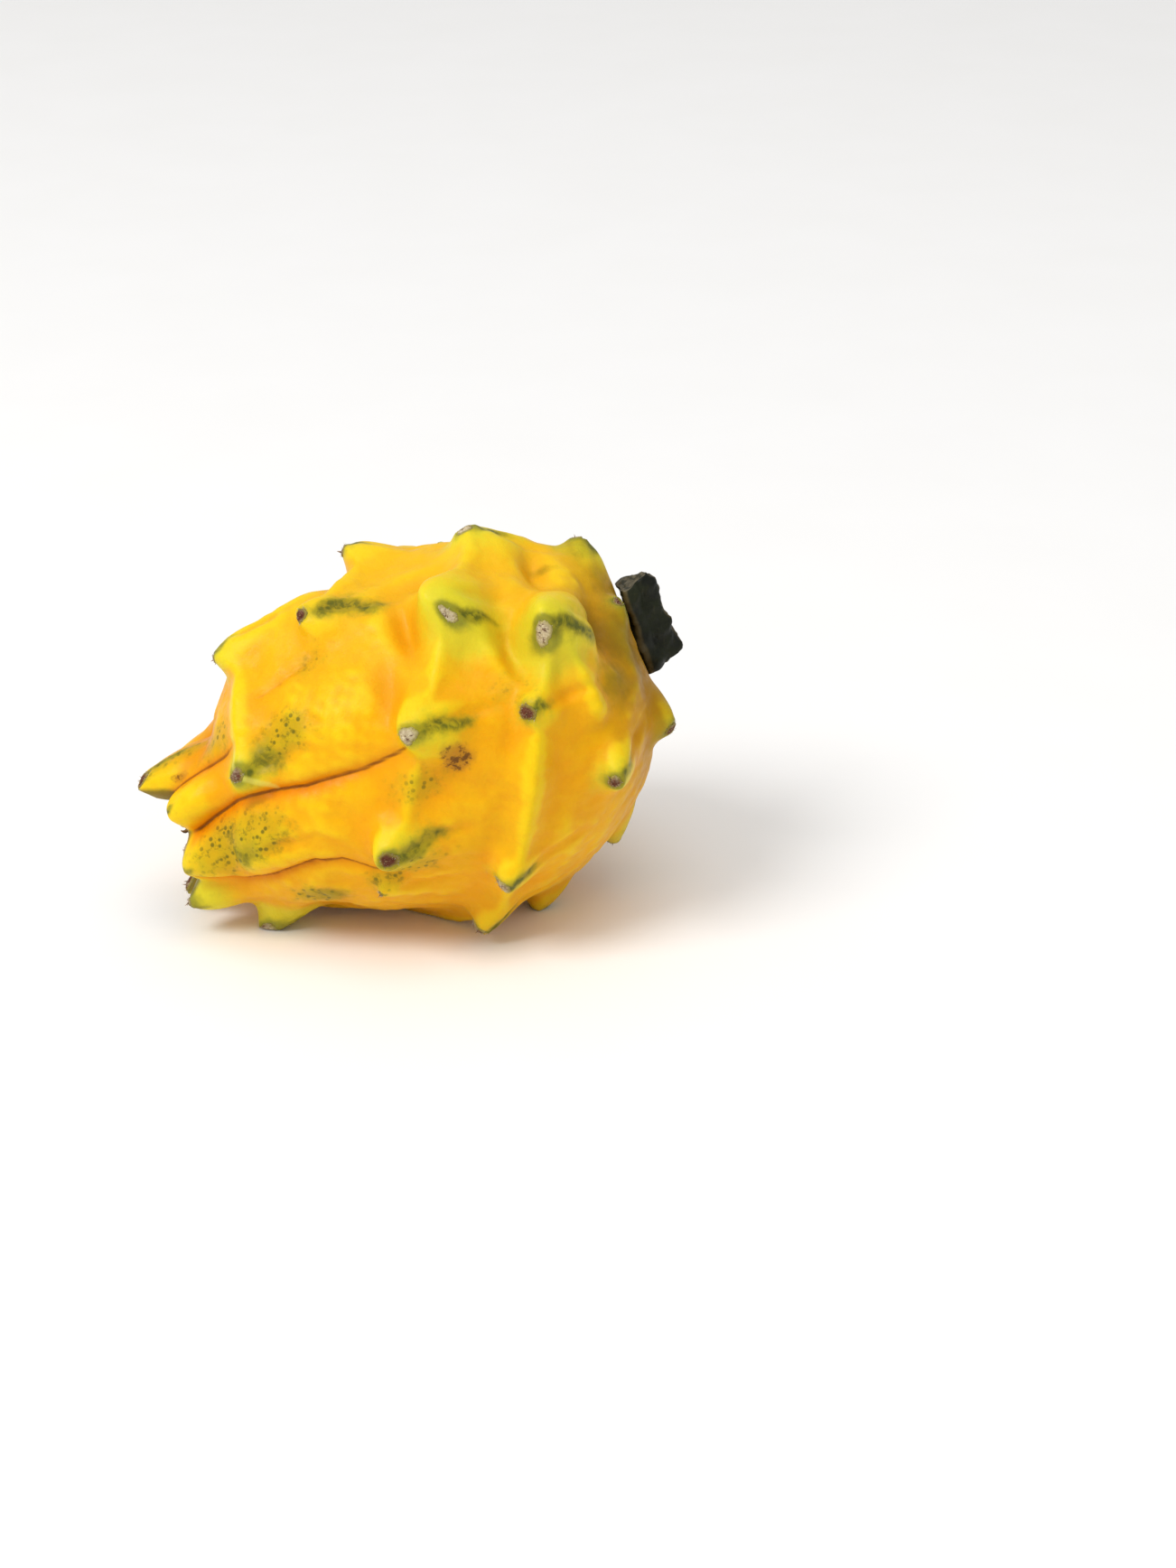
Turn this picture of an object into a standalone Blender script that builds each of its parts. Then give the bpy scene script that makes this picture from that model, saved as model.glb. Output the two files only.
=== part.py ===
"""Yellow dragon fruit lying on its side, with the cut piece of stem it hung from and its dried flower scar.

Lengths are in millimetres until the vertices are written, and the finished part is in metres with +Z up.
The fruit is shaped along its own axis first (blossom end at -X, stem end at +X), then tipped and laid
on z = 0. An arc is a length along the lathe line from the middle of the blossom hollow. A turn is an angle
round the axis in degrees: 0 is +Y, 90 is up, 180 is -Y and 270 is down.
"""
import bmesh
import bpy
import numpy as np

MM = 0.001

# Lathe line of the fruit without its tubercles: place on the axis and radius, blossom hollow first
LATHE = (
    (-42.8, 0.0), (-43.2, 3.7), (-46.5, 7.9), (-49.8, 11.2), (-47.0, 16.3), (-37.2, 23.7), (-22.3, 31.6),
    (-4.6, 36.3), (11.2, 37.7), (26.0, 36.3), (38.5, 31.8), (47.5, 23.5), (51.8, 11.5), (52.5, 0.0),
)
LATHE_STEPS = 1200
BODY_SEGMENTS = 100
BODY_RINGS = 58

# Pose of the lying fruit: stem end up, blossom end sagging a little, axis bent up at the stem. The far side
# of the blossom mouth is pulled back towards the stem end.
TIP_UP = np.radians(15.0)
FLOOR_LEVEL = -37.6
CENTRE_X = 1.03
CENTRE_Y = 1.16
BLOSSOM_SAG = 3.8
STEM_LIFT = 3.7
BEND_STARTS = (-18.0, 23.0)
BEND_LENGTH = 32.0
SLANT_FROM = -30.0
SLANT_LENGTH = 12.0
MOUTH_SLANT = 0.3

# Tubercles placed one by one, the blossom end first: arc, turn in degrees, height, half width of the knob,
# and how far the swelling under it runs out in front and behind
PLACED_TIPS = (
    (17, 91, 8.5, 5.6, 4.5, 8), (18, 187, 5.0, 6.0, 4.5, 11), (18, 230, 6.5, 4.8, 4.5, 11),
    (19, 137, 5.5, 5.5, 4.5, 11), (32, 181, 2.5, 6.0, 4.5, 24), (33, 252, 6.0, 6.2, 4.5, 5),
    (36, 146, 2.6, 5.0, 6.0, 11), (44, 91, 7.2, 5.6, 4.5, 24), (60, 209, 2.5, 3.5, 4.5, 24),
    (63, 103, 6.0, 5.4, 4.5, 24), (64, 188, 7.4, 5.6, 4.5, 24), (76, 70, 7.5, 6.0, 4.5, 24),
    (77, 153, 8.6, 6.8, 4.5, 24), (79, 234, 7.0, 5.2, 4.5, 24), (86, 208, 6.5, 5.2, 4.5, 24),
    (89, 119, 9.4, 8.2, 4.5, 18), (91, 260, 7.0, 5.2, 4.5, 24), (99, 86, 4.8, 8.6, 4.5, 24),
    (100, 158, 5.5, 4.8, 4.5, 24), (108, 134, 11.0, 7.8, 4.5, 10), (123, 74, 4.2, 6.8, 4.5, 24),
    (133, 112, 2.0, 4.5, 4.5, 24),
)

# The other tubercles: fingers round the blossom rim, then a spiral that turns by the golden angle
SEED = 11
RIM_TURNS = (275, 320, 2, 47)
RIM_ARC = 17.0
RIM_HEIGHT = 6.5
RIM_HALF_WIDTH = 4.5
FRONT_LENGTH = 4.5
BACK_LENGTHS = (11.0, 24.0)
SPIRAL_TURN = 137.5
SPIRAL_STEP = 2.25
SPIRAL_START = (78.0, 153.0)
SPIRAL_SPAN = (-20, 26)
SPIRAL_ROOM = 19.5
BARE_PLACES = ((57, 132), (40, 70))
CROWDING = 0.2
CROWDED_ARCS = (30.0, 70.0)
SPIRAL_HEIGHT = 7.0
SPIRAL_HALF_WIDTH = 5.2
LOW_ARCS = (110.0, 150.0)
LOW_LOSS = 4.0
ARC_DRIFT = 1.5
TURN_DRIFT = 3.0
HEIGHT_DRIFT = 0.8
PRESSED = 1.0

# Form of one tubercle: it leans to the blossom end, steep in front, with a long back that widens to the stem
LEAN = 0.45
CREST = 2.0
SIDE_WIDTHS = (4.0, 6.5)
SIDE_SPREAD = 5.5
RIM_ARCS = (22.0, 32.0)
SWELL_SHARE = 0.46
KNOB_POWER = 3.6
KNOB_FRONT = 0.78
KNOB_BACK = 1.15
BLEND_POWER = 3.0

# Groove along the back of a tubercle, and the low ridge to the next tubercle in its spiral row
GROOVE_DEPTH = 0.9
GROOVE_HALF_WIDTH = 1.4
GROOVE_END = 18.0
RIDGE_HEIGHT = 3.8
RIDGE_HALF_WIDTH = 3.8
RIDGE_STEP = (12.0, -34.0)
RIDGE_LEAST_STEP = 4.0
RIDGE_MISS = 14.0
TURN_WEIGHT = 0.6

# Ridges that join tubercles out of their row: arc and turn at both ends, height, half width
CROSS_RIDGES = (
    (108, 134, 112, 166, 3.8, 3.6), (47, 92, 62, 89, 3.8, 7.5), (89, 119, 100, 158, 2.4, 4.5),
)

# Folds of the peel between the rows of tubercles: depth, then arc and turn of the places along the fold
FOLDS = (
    (2.6, (18, 161), (23, 157), (30, 154), (35, 155), (48, 160), (62, 160), (78, 156)),
    (1.9, (19, 199), (22, 202), (27, 205), (39, 195), (45, 192), (51, 193), (57, 199), (66, 202)),
    (1.9, (13, 117), (21, 121), (31, 128), (38, 131)),
    (0.9, (45, 118), (53, 116), (62, 113)),
    (1.9, (13, 252), (26, 258), (39, 256)),
    (1.9, (13, 297), (26, 295), (39, 301)),
    (1.9, (13, 340), (26, 346), (39, 344)),
    (1.9, (13, 25), (26, 23), (39, 29)),
    (1.9, (13, 68), (26, 74), (39, 72)),
)
FOLD_WIDTHS = (1.4, 2.6)
FOLD_FADES = 0.55
FOLD_RUN_OUT = 4.0
FOLD_MOUTH = 2.0

# Hollows beside the tubercles, and swellings where the depth is negative: arc, turn, half length along the
# fruit, half width round it, depth. The whole peel also has slow waves.
HOLLOWS = (
    (79.0, 117, 3.0, 9.0, 4.2), (98.5, 131, 2.8, 10.0, 3.4), (110, 100, 3.4, 7.0, 3.4),
    (123, 134, 5.0, 10.0, 4.2), (84, 99, 8.0, 3.2, 2.6), (71, 172, 8.0, 4.5, 1.2),
    (72, 138, 4.0, 9.0, 2.6), (25, 91, 6.0, 10.0, 4.4), (56, 138, 16.0, 9.0, -1.6),
    (45, 236, 6.0, 7.0, 3.2), (54, 95, 9.0, 9.0, -1.8),
)
WAVE_HEIGHT = 0.8
WAVE_RADIUS = 20.0

# Cut piece of stem that lies across the stem end: foot and head of its middle line, girth and three ribs
STEM_FOOT = (57.7, 3.0, -4.5)
STEM_HEAD = (56.1, 3.0, 15.5)
STEM_RADIUS = (4.1, 3.4)
STEM_RIB = 0.28
STEM_SEGMENTS = 36
STEM_RINGS = 16
STEM_CAP = 0.2

# Dried flower scar in the blossom hollow: lathe line from its seat round to the hollow of its torn crown
SCAR_LATHE = (
    (-43.3, 0.0), (-43.7, 2.8), (-45.2, 4.1), (-47.6, 4.5), (-50.8, 4.0), (-50.0, 2.6), (-48.2, 1.3),
    (-47.8, 0.0),
)
SCAR_SHREDS = 7
SCAR_SHRED_DEPTH = 0.22
SCAR_SEGMENTS = 42
SCAR_RINGS = 16

COLOURS = {
    "peel": (0.90, 0.52, 0.02),
    "stem": (0.05, 0.09, 0.02),
    "scar": (0.16, 0.09, 0.04),
}


def lathe_line(points, steps):
    """Smooth line through the lathe points, as arc length, place on the axis and radius."""
    inner = np.array(points, float)
    mirror = np.array([1.0, -1.0])
    knots = np.vstack([inner[1] * mirror, inner, inner[-2] * mirror])
    length = np.concatenate([[0.0], np.cumsum(np.linalg.norm(np.diff(knots, axis=0), axis=1))])
    slope = (knots[2:] - knots[:-2]) / (length[2:] - length[:-2])[:, None]
    at = np.linspace(length[1], length[-2], steps + 1)
    left = np.clip(np.searchsorted(length, at, side="right") - 1, 1, len(knots) - 3)
    span = (length[left + 1] - length[left])[:, None]
    u = (at - length[left])[:, None] / span
    line = (
        (2 * u ** 3 - 3 * u ** 2 + 1) * knots[left]
        + (u ** 3 - 2 * u ** 2 + u) * span * slope[left - 1]
        + (3 * u ** 2 - 2 * u ** 3) * knots[left + 1]
        + (u ** 3 - u ** 2) * span * slope[left]
    )
    line[:, 1] = np.maximum(line[:, 1], 0.0)
    arc = np.concatenate([[0.0], np.cumsum(np.linalg.norm(np.diff(line, axis=0), axis=1))])
    return arc, line[:, 0], line[:, 1]


def place(line, arc, turn):
    """Point of the smooth fruit, its outward normal and the direction to the blossom end."""
    length, axial, radius = line
    along = np.interp(arc, length, axial)
    out = np.interp(arc, length, radius)
    step = 0.3
    rise = np.interp(arc + step, length, axial) - np.interp(arc - step, length, axial)
    swell = np.interp(arc + step, length, radius) - np.interp(arc - step, length, radius)
    size = np.hypot(rise, swell)
    rise, swell = rise / size, swell / size
    c, s = np.cos(turn), np.sin(turn)
    point = np.stack([along, out * c, out * s], -1)
    normal = np.stack([-swell, rise * c, rise * s], -1)
    blossomward = np.stack([-rise, -swell * c, -swell * s], -1)
    return point, normal, blossomward


def bend(points):
    """Sag of the blossom end, slant of its mouth and lift of the stem end."""
    bent = points.copy()
    slant = ramp(points[..., 0], (SLANT_FROM, SLANT_FROM - SLANT_LENGTH))
    bent[..., 0] += MOUTH_SLANT * slant * np.maximum(points[..., 1], 0.0)
    sag = np.clip((BEND_STARTS[0] - points[..., 0]) / BEND_LENGTH, 0.0, None) ** 1.5
    lift = np.clip((points[..., 0] - BEND_STARTS[1]) / BEND_LENGTH, 0.0, None) ** 1.5
    bent[..., 2] += STEM_LIFT * lift - BLOSSOM_SAG * sag
    return bent


def lay(points):
    """From the frame of the fruit to the frame of the part, both in millimetres."""
    bent = bend(points)
    c, s = np.cos(TIP_UP), np.sin(TIP_UP)
    x = bent[..., 0] * c - bent[..., 2] * s - CENTRE_X
    z = bent[..., 0] * s + bent[..., 2] * c - FLOOR_LEVEL
    return np.stack([x, bent[..., 1] - CENTRE_Y, z], -1)


def ramp(value, ends):
    """0 at the first end, 1 at the second and straight between."""
    return np.clip((value - ends[0]) / (ends[1] - ends[0]), 0.0, 1.0)


def all_tips(line):
    """Placed tubercles, then the others where there is room, the lowest ones pressed level by the table."""
    rng = np.random.default_rng(SEED)
    tips = list(PLACED_TIPS)
    for turn in RIM_TURNS:
        arc = RIM_ARC + rng.uniform(-1, 1)
        turn = turn + rng.uniform(-5, 5)
        height = RIM_HEIGHT + rng.uniform(-1, 1)
        tips.append((arc, turn, height, RIM_HALF_WIDTH, FRONT_LENGTH, BACK_LENGTHS[0]))

    def spot(arc, turn):
        return place(line, arc, np.radians(turn))[0]

    for k in range(*SPIRAL_SPAN):
        arc = SPIRAL_START[0] + SPIRAL_STEP * k + rng.uniform(-ARC_DRIFT, ARC_DRIFT)
        turn = (SPIRAL_START[1] + SPIRAL_TURN * k + rng.uniform(-TURN_DRIFT, TURN_DRIFT)) % 360
        height = SPIRAL_HEIGHT + rng.uniform(-HEIGHT_DRIFT, HEIGHT_DRIFT) - LOW_LOSS * ramp(arc, LOW_ARCS)
        room = SPIRAL_ROOM * (1 - CROWDING * (1 - ramp(arc, CROWDED_ARCS)))
        near = min(np.linalg.norm(spot(arc, turn) - spot(*other[:2])) for other in (*tips, *BARE_PLACES))
        if near > room:
            tips.append((arc, turn, height, SPIRAL_HALF_WIDTH, FRONT_LENGTH, BACK_LENGTHS[1]))

    pressed = []
    for arc, turn, height, *lengths in tips:
        foot, normal, blossomward = place(line, float(arc), np.radians(turn))
        low = lay(foot)[2]
        drop = low - lay(foot + normal + LEAN * blossomward)[2]
        if drop > 0 and low - height * drop < -PRESSED:
            height = (low + PRESSED) / drop
        pressed.append((arc, turn, height, *lengths))
    return pressed


def wrap(angle):
    """The same angle between minus and plus half a turn."""
    return np.mod(angle + np.pi, 2 * np.pi) - np.pi


def next_in_row(tip, tips):
    """Steps in arc and in turn to the next tubercle along the spiral row, or None."""
    best = None
    for other in tips:
        ahead = other[0] - tip[0]
        round_by = (other[1] - tip[1] + 180) % 360 - 180
        miss = np.hypot(ahead - RIDGE_STEP[0], (round_by - RIDGE_STEP[1]) * TURN_WEIGHT)
        if ahead > RIDGE_LEAST_STEP and miss < RIDGE_MISS and (best is None or miss < best[0]):
            best = (miss, ahead, np.radians(round_by))
    return best and best[1:]


def tubercle(tip, front, side):
    """Height of one tubercle as a share of its tip's, from the lengths in front of the tip and beside it."""
    _, _, _, half_width, front_length, back_length = tip
    away = np.hypot(front, CREST) - CREST
    beside = np.hypot(side, CREST) - CREST
    behind = front <= 0
    fall = np.where(behind, np.clip(away / back_length, 0, 1), 0)
    along = np.where(behind, (1 - fall) ** 1.3, np.exp(-(away / front_length) ** 1.2))
    width = SIDE_WIDTHS[0] + (SIDE_WIDTHS[1] - SIDE_WIDTHS[0]) * ramp(back_length, BACK_LENGTHS)
    across = np.exp(-(beside / (width + SIDE_SPREAD * fall)) ** 1.4)
    reach = np.hypot(np.where(behind, front / KNOB_BACK, front / KNOB_FRONT), side) / half_width
    return SWELL_SHARE * along * across + (1 - SWELL_SHARE) * np.exp(-reach ** KNOB_POWER)


def fold_depth(arc, turn, radius):
    """Depth of the folds, the deepest where two meet."""
    depth = np.zeros(arc.shape)
    for deepest, *places in FOLDS:
        arcs, turns = np.array(places, float).T
        side = radius * wrap(turn - np.radians(np.interp(arc, arcs, turns)))
        fade = 1 - ramp(arc, (arcs[0] + FOLD_FADES * (arcs[-1] - arcs[0]), arcs[-1] + FOLD_RUN_OUT))
        fade = fade * np.exp(-(np.maximum(arcs[0] - arc, 0) / FOLD_MOUTH) ** 2)
        width = np.where(side > 0, FOLD_WIDTHS[1], FOLD_WIDTHS[0])
        depth = np.maximum(depth, deepest * fade * np.exp(-np.abs(side) / width))
    return depth


def hollow_depth(arc, turn, radius):
    """Depth of the hollows beside the tubercles."""
    depth = np.zeros(arc.shape)
    for at_arc, at_turn, half_length, half_width, deepest in HOLLOWS:
        side = radius * wrap(turn - np.radians(at_turn))
        depth += deepest * np.exp(-((arc - at_arc) / half_length) ** 2 - (side / half_width) ** 2)
    return depth


def ridge_share(front, side, ahead, aside, half_width):
    """1 on the line from a place to one that lies ahead and aside of it, falling to 0 beside the line."""
    u = np.clip((side * aside - front * ahead) / (ahead ** 2 + aside ** 2), 0, 1)
    off = np.hypot(-front - u * ahead, side - u * aside)
    return np.exp(-(off / half_width) ** 1.6)


def peel(line, arc, turn, tips):
    """Points of the fruit with its tubercles, ridges, grooves, folds, hollows and slow waves."""
    point, normal, _ = place(line, arc, turn)
    radius = np.interp(arc, line[0], line[2])
    weight = np.full(arc.shape, 1e-9)
    pull = np.zeros(point.shape)
    groove = np.zeros(arc.shape)
    ridge = np.zeros(arc.shape)
    for tip in tips:
        front = tip[0] - arc
        side = radius * wrap(turn - np.radians(tip[1]))
        share = tubercle(tip, front, side)
        _, tip_normal, tip_blossomward = place(line, float(tip[0]), np.radians(tip[1]))
        heading = tip_normal + LEAN * tip_blossomward
        part = (tip[2] * share) ** BLEND_POWER
        blend = np.clip(share, 0, 1)[..., None]
        weight += part
        pull += part[..., None] * (normal * (1 - blend) + heading * blend)
        keel = np.exp(-(side / GROOVE_HALF_WIDTH) ** 2) * ramp(-front, (tip[3] / 2, tip[3] / 2 + 2))
        keel = keel * ramp(front, (-GROOVE_END, 8 - GROOVE_END)) * ramp(tip[0], RIM_ARCS)
        groove = np.maximum(groove, GROOVE_DEPTH * keel)
        step = next_in_row(tip, tips) if tip[0] > RIM_ARCS[1] else None
        if step:
            aside = step[1] * np.interp(tip[0] + step[0] / 2, line[0], line[2])
            share = ridge_share(front, side, step[0], aside, RIDGE_HALF_WIDTH)
            ridge = np.maximum(ridge, RIDGE_HEIGHT * share)
    for from_arc, from_turn, to_arc, to_turn, high, half_width in CROSS_RIDGES:
        side = radius * wrap(turn - np.radians(from_turn))
        aside = np.radians(to_turn - from_turn) * np.interp(to_arc, line[0], line[2])
        share = ridge_share(from_arc - arc, side, to_arc - from_arc, aside, half_width)
        ridge = np.maximum(ridge, high * share)
    ridge_part = ridge ** BLEND_POWER
    height = (weight + ridge_part) ** (1 / BLEND_POWER)
    heading = (pull + normal * ridge_part[..., None]) / (weight + ridge_part)[..., None]
    x, y, z = point[..., 0], point[..., 1], point[..., 2]
    wave = np.sin(0.11 * x + 1.0 + 2 * np.sin(0.05 * y)) * np.sin(0.13 * y + 0.09 * z)
    wave = WAVE_HEIGHT * wave * ramp(radius, (0, WAVE_RADIUS))
    sink = wave - groove - fold_depth(arc, turn, radius) - hollow_depth(arc, turn, radius)
    return point + height[..., None] * heading + sink[..., None] * normal


def sphere_net(segments, rings):
    """A UV sphere, with the share of the way from its first pole and the turn of every vertex."""
    mesh = bmesh.new()
    bmesh.ops.create_uvsphere(mesh, u_segments=segments, v_segments=rings, radius=1.0)
    mesh.verts.index_update()
    unit = np.array([vertex.co[:] for vertex in mesh.verts])
    share = np.arccos(np.clip(unit[:, 2], -1, 1)) / np.pi
    return mesh, share, np.arctan2(unit[:, 1], unit[:, 0])


def write_points(mesh, points):
    for vertex, point in zip(mesh.verts, points * MM):
        vertex.co = point


def colour_of(name, roughness):
    material = bpy.data.materials.new(name)
    material.use_nodes = True
    shader = material.node_tree.nodes["Principled BSDF"]
    shader.inputs["Base Color"].default_value = (*COLOURS[name], 1.0)
    shader.inputs["Roughness"].default_value = roughness
    return material


def add_piece(name, mesh, material, collection):
    bmesh.ops.recalc_face_normals(mesh, faces=mesh.faces)
    if mesh.calc_volume(signed=True) < 0:
        bmesh.ops.reverse_faces(mesh, faces=mesh.faces)
    data = bpy.data.meshes.new(name)
    mesh.to_mesh(data)
    mesh.free()
    data.shade_smooth()
    piece = bpy.data.objects.new(name, data)
    data.materials.append(material)
    collection.objects.link(piece)
    return piece


def split_quads(mesh, share, turn, form):
    """Splits every four-sided face along the diagonal that lies nearer to the form in the middle of the face."""
    quads = [face for face in mesh.faces if len(face.verts) == 4]
    corners = np.array([[vertex.index for vertex in face.verts] for face in quads])
    middle_turn = np.arctan2(np.sin(turn[corners]).sum(1), np.cos(turn[corners]).sum(1))
    middle = form(share[corners].mean(1), middle_turn)
    points = form(share, turn)[corners]
    first = np.linalg.norm((points[:, 0] + points[:, 2]) / 2 - middle, axis=1)
    second = np.linalg.norm((points[:, 1] + points[:, 3]) / 2 - middle, axis=1)
    for face, start in zip(quads, np.where(first < second, 0, 1)):
        bmesh.utils.face_split(face, face.verts[start], face.verts[start + 2])


def build_body(line, collection):
    """The peel, cut level where its low tubercles press on the table."""
    mesh, share, turn = sphere_net(BODY_SEGMENTS, BODY_RINGS)
    tips = all_tips(line)

    def form(share, turn):
        return lay(peel(line, share * line[0][-1], turn, tips))

    write_points(mesh, form(share, turn))
    split_quads(mesh, share, turn, form)
    cut = bmesh.ops.bisect_plane(
        mesh, geom=mesh.verts[:] + mesh.edges[:] + mesh.faces[:], dist=1e-7,
        plane_co=(0, 0, 0), plane_no=(0, 0, 1), clear_inner=True,
    )
    edges = [item for item in cut["geom_cut"] if isinstance(item, bmesh.types.BMEdge)]
    bmesh.ops.edgenet_fill(mesh, edges=edges)
    return add_piece("fruit_body", mesh, colour_of("peel", 0.4), collection)


def build_stem(collection):
    """Short piece of three-ribbed stem with a clean cut at both ends."""
    mesh, share, turn = sphere_net(STEM_SEGMENTS, STEM_RINGS)
    foot, head = np.array(STEM_FOOT), np.array(STEM_HEAD)
    axis = (head - foot) / np.linalg.norm(head - foot)
    across = np.array([0.0, 1.0, 0.0])
    toward = np.cross(axis, across)
    along = np.clip((share - STEM_CAP) / (1 - 2 * STEM_CAP), 0, 1)
    cap = np.clip(np.minimum(share, 1 - share) / STEM_CAP, 0, 1) ** 0.7
    girth = (STEM_RADIUS[0] + (STEM_RADIUS[1] - STEM_RADIUS[0]) * along) * cap
    girth = girth * (1 + STEM_RIB * np.cos(3 * turn))
    dome = 0.5 * (1 - cap ** 2) * np.sign(share - 0.5)
    points = foot + along[:, None] * (head - foot) + dome[:, None] * axis
    points = points + (girth * np.cos(turn))[:, None] * -toward + (girth * np.sin(turn))[:, None] * across
    write_points(mesh, lay(points))
    return add_piece("stem_stub", mesh, colour_of("stem", 0.55), collection)


def build_scar(collection):
    """Torn, dried foot of the flower, seated in the blossom hollow."""
    mesh, share, turn = sphere_net(SCAR_SEGMENTS, SCAR_RINGS)
    arc, axial, radius = lathe_line(SCAR_LATHE, LATHE_STEPS)
    along = share * arc[-1]
    shred = 1 + SCAR_SHRED_DEPTH * np.sin(SCAR_SHREDS * turn) * np.sin(np.pi * share) ** 2
    out = np.interp(along, arc, radius) * shred
    reach = np.interp(along, arc, axial)
    points = np.stack([reach, out * np.cos(turn), out * np.sin(turn)], -1)
    write_points(mesh, lay(points))
    return add_piece("flower_scar", mesh, colour_of("scar", 0.9), collection)


def main():
    for item in list(bpy.data.objects):
        bpy.data.objects.remove(item, do_unlink=True)
    collection = bpy.data.collections.new("yellow_dragon_fruit")
    bpy.context.scene.collection.children.link(collection)
    line = lathe_line(LATHE, LATHE_STEPS)
    build_body(line, collection)
    build_stem(collection)
    build_scar(collection)


main()
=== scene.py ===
"""Yellow dragon fruit lying on its side: peel, areoles, stem piece, dried flower scar, light and camera.

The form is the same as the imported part's, so the same named values are here. Lengths are in millimetres
until the vertices are written in metres. An arc is a length along the lathe line from the middle of the
blossom hollow. A turn is an angle round the axis in degrees: 0 is +Y, 90 is up, 180 is -Y, 270 is down.
"""

import bmesh
import bpy
import numpy as np
from mathutils import Matrix, Vector


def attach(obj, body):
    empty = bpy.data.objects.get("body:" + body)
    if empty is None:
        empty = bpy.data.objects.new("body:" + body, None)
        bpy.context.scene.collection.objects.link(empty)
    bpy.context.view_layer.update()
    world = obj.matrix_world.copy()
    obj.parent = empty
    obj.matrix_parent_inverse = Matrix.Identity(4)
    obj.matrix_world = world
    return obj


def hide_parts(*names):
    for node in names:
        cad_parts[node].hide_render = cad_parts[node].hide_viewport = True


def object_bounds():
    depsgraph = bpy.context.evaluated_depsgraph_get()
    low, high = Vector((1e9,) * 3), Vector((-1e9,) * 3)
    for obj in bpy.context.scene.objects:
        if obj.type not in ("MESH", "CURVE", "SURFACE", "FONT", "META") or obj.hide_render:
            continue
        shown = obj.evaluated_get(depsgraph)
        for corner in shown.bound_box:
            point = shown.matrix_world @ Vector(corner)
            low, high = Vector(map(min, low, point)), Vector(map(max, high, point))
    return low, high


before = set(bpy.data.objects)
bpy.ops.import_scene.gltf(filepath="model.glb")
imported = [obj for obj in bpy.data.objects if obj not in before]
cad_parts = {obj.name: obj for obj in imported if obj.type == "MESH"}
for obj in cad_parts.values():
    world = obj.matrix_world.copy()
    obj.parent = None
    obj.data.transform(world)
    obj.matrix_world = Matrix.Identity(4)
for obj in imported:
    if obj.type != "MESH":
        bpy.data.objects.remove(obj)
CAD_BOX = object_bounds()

MM = 0.001
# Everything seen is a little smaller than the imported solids, so that pads and spines stay inside their box
FIT = 0.992

# Form of the fruit, as in the part
LATHE = (
    (-42.8, 0), (-43.2, 3.7), (-46.5, 7.9), (-49.8, 11.2), (-47, 16.3), (-37.2, 23.7), (-22.3, 31.6),
    (-4.6, 36.3), (11.2, 37.7), (26, 36.3), (38.5, 31.8), (47.5, 23.5), (51.8, 11.5), (52.5, 0),
)
LATHE_STEPS = 1200
TIP_UP = np.radians(15)
FLOOR_LEVEL = -37.6
CENTRE_X = 1.03
CENTRE_Y = 1.16
BLOSSOM_SAG = 3.8
STEM_LIFT = 3.7
BEND_STARTS = (-18, 23)
BEND_LENGTH = 32
# Tubercles placed one by one: arc, turn, height, half width of the knob, length in front, length behind
PLACED_TIPS = (
    (17, 91, 8.5, 5.6, 4.5, 8), (18, 187, 5, 6, 4.5, 11), (18, 230, 6.5, 4.8, 4.5, 11),
    (19, 137, 5.5, 5.5, 4.5, 11), (32, 181, 2.5, 6, 4.5, 24), (33, 252, 6, 6.2, 4.5, 5),
    (36, 146, 2.6, 5, 6, 11), (44, 91, 7.2, 5.6, 4.5, 24), (60, 209, 2.5, 3.5, 4.5, 24),
    (63, 103, 6, 5.4, 4.5, 24), (64, 188, 7.4, 5.6, 4.5, 24), (76, 70, 7.5, 6, 4.5, 24),
    (77, 153, 8.6, 6.8, 4.5, 24), (79, 234, 7, 5.2, 4.5, 24), (86, 208, 6.5, 5.2, 4.5, 24),
    (89, 119, 9.4, 8.2, 4.5, 18), (91, 260, 7, 5.2, 4.5, 24), (99, 86, 4.8, 8.6, 4.5, 24),
    (100, 158, 5.5, 4.8, 4.5, 24), (108, 134, 11, 7.8, 4.5, 10), (123, 74, 4.2, 6.8, 4.5, 24),
    (133, 112, 2, 4.5, 4.5, 24),
)
SEED = 11
RIM_TURNS = (275, 320, 2, 47)
RIM_ARC = 17
RIM_HEIGHT = 6.5
RIM_HALF_WIDTH = 4.5
FRONT_LENGTH = 4.5
BACK_LENGTHS = (11, 24)
SPIRAL_TURN = 137.5
SPIRAL_STEP = 2.25
SPIRAL_START = (78, 153)
SPIRAL_SPAN = (-20, 26)
SPIRAL_ROOM = 19.5
BARE_PLACES = ((57, 132), (40, 70))
CROWDING = 0.2
CROWDED_ARCS = (30, 70)
SPIRAL_HEIGHT = 7
SPIRAL_HALF_WIDTH = 5.2
LOW_ARCS = (110, 150)
LOW_LOSS = 4
ARC_DRIFT = 1.5
TURN_DRIFT = 3
HEIGHT_DRIFT = 0.8
PRESSED = 1
LEAN = 0.45
CREST = 2
SIDE_WIDTHS = (4, 6.5)
SIDE_SPREAD = 5.5
RIM_ARCS = (22, 32)
SWELL_SHARE = 0.46
KNOB_POWER = 3.6
KNOB_FRONT = 0.78
KNOB_BACK = 1.15
BLEND_POWER = 3
GROOVE_DEPTH = 0.9
GROOVE_HALF_WIDTH = 1.4
GROOVE_END = 18
RIDGE_HEIGHT = 3.8
RIDGE_HALF_WIDTH = 3.8
RIDGE_STEP = (12, -34)
RIDGE_LEAST_STEP = 4
RIDGE_MISS = 14
TURN_WEIGHT = 0.6
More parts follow.
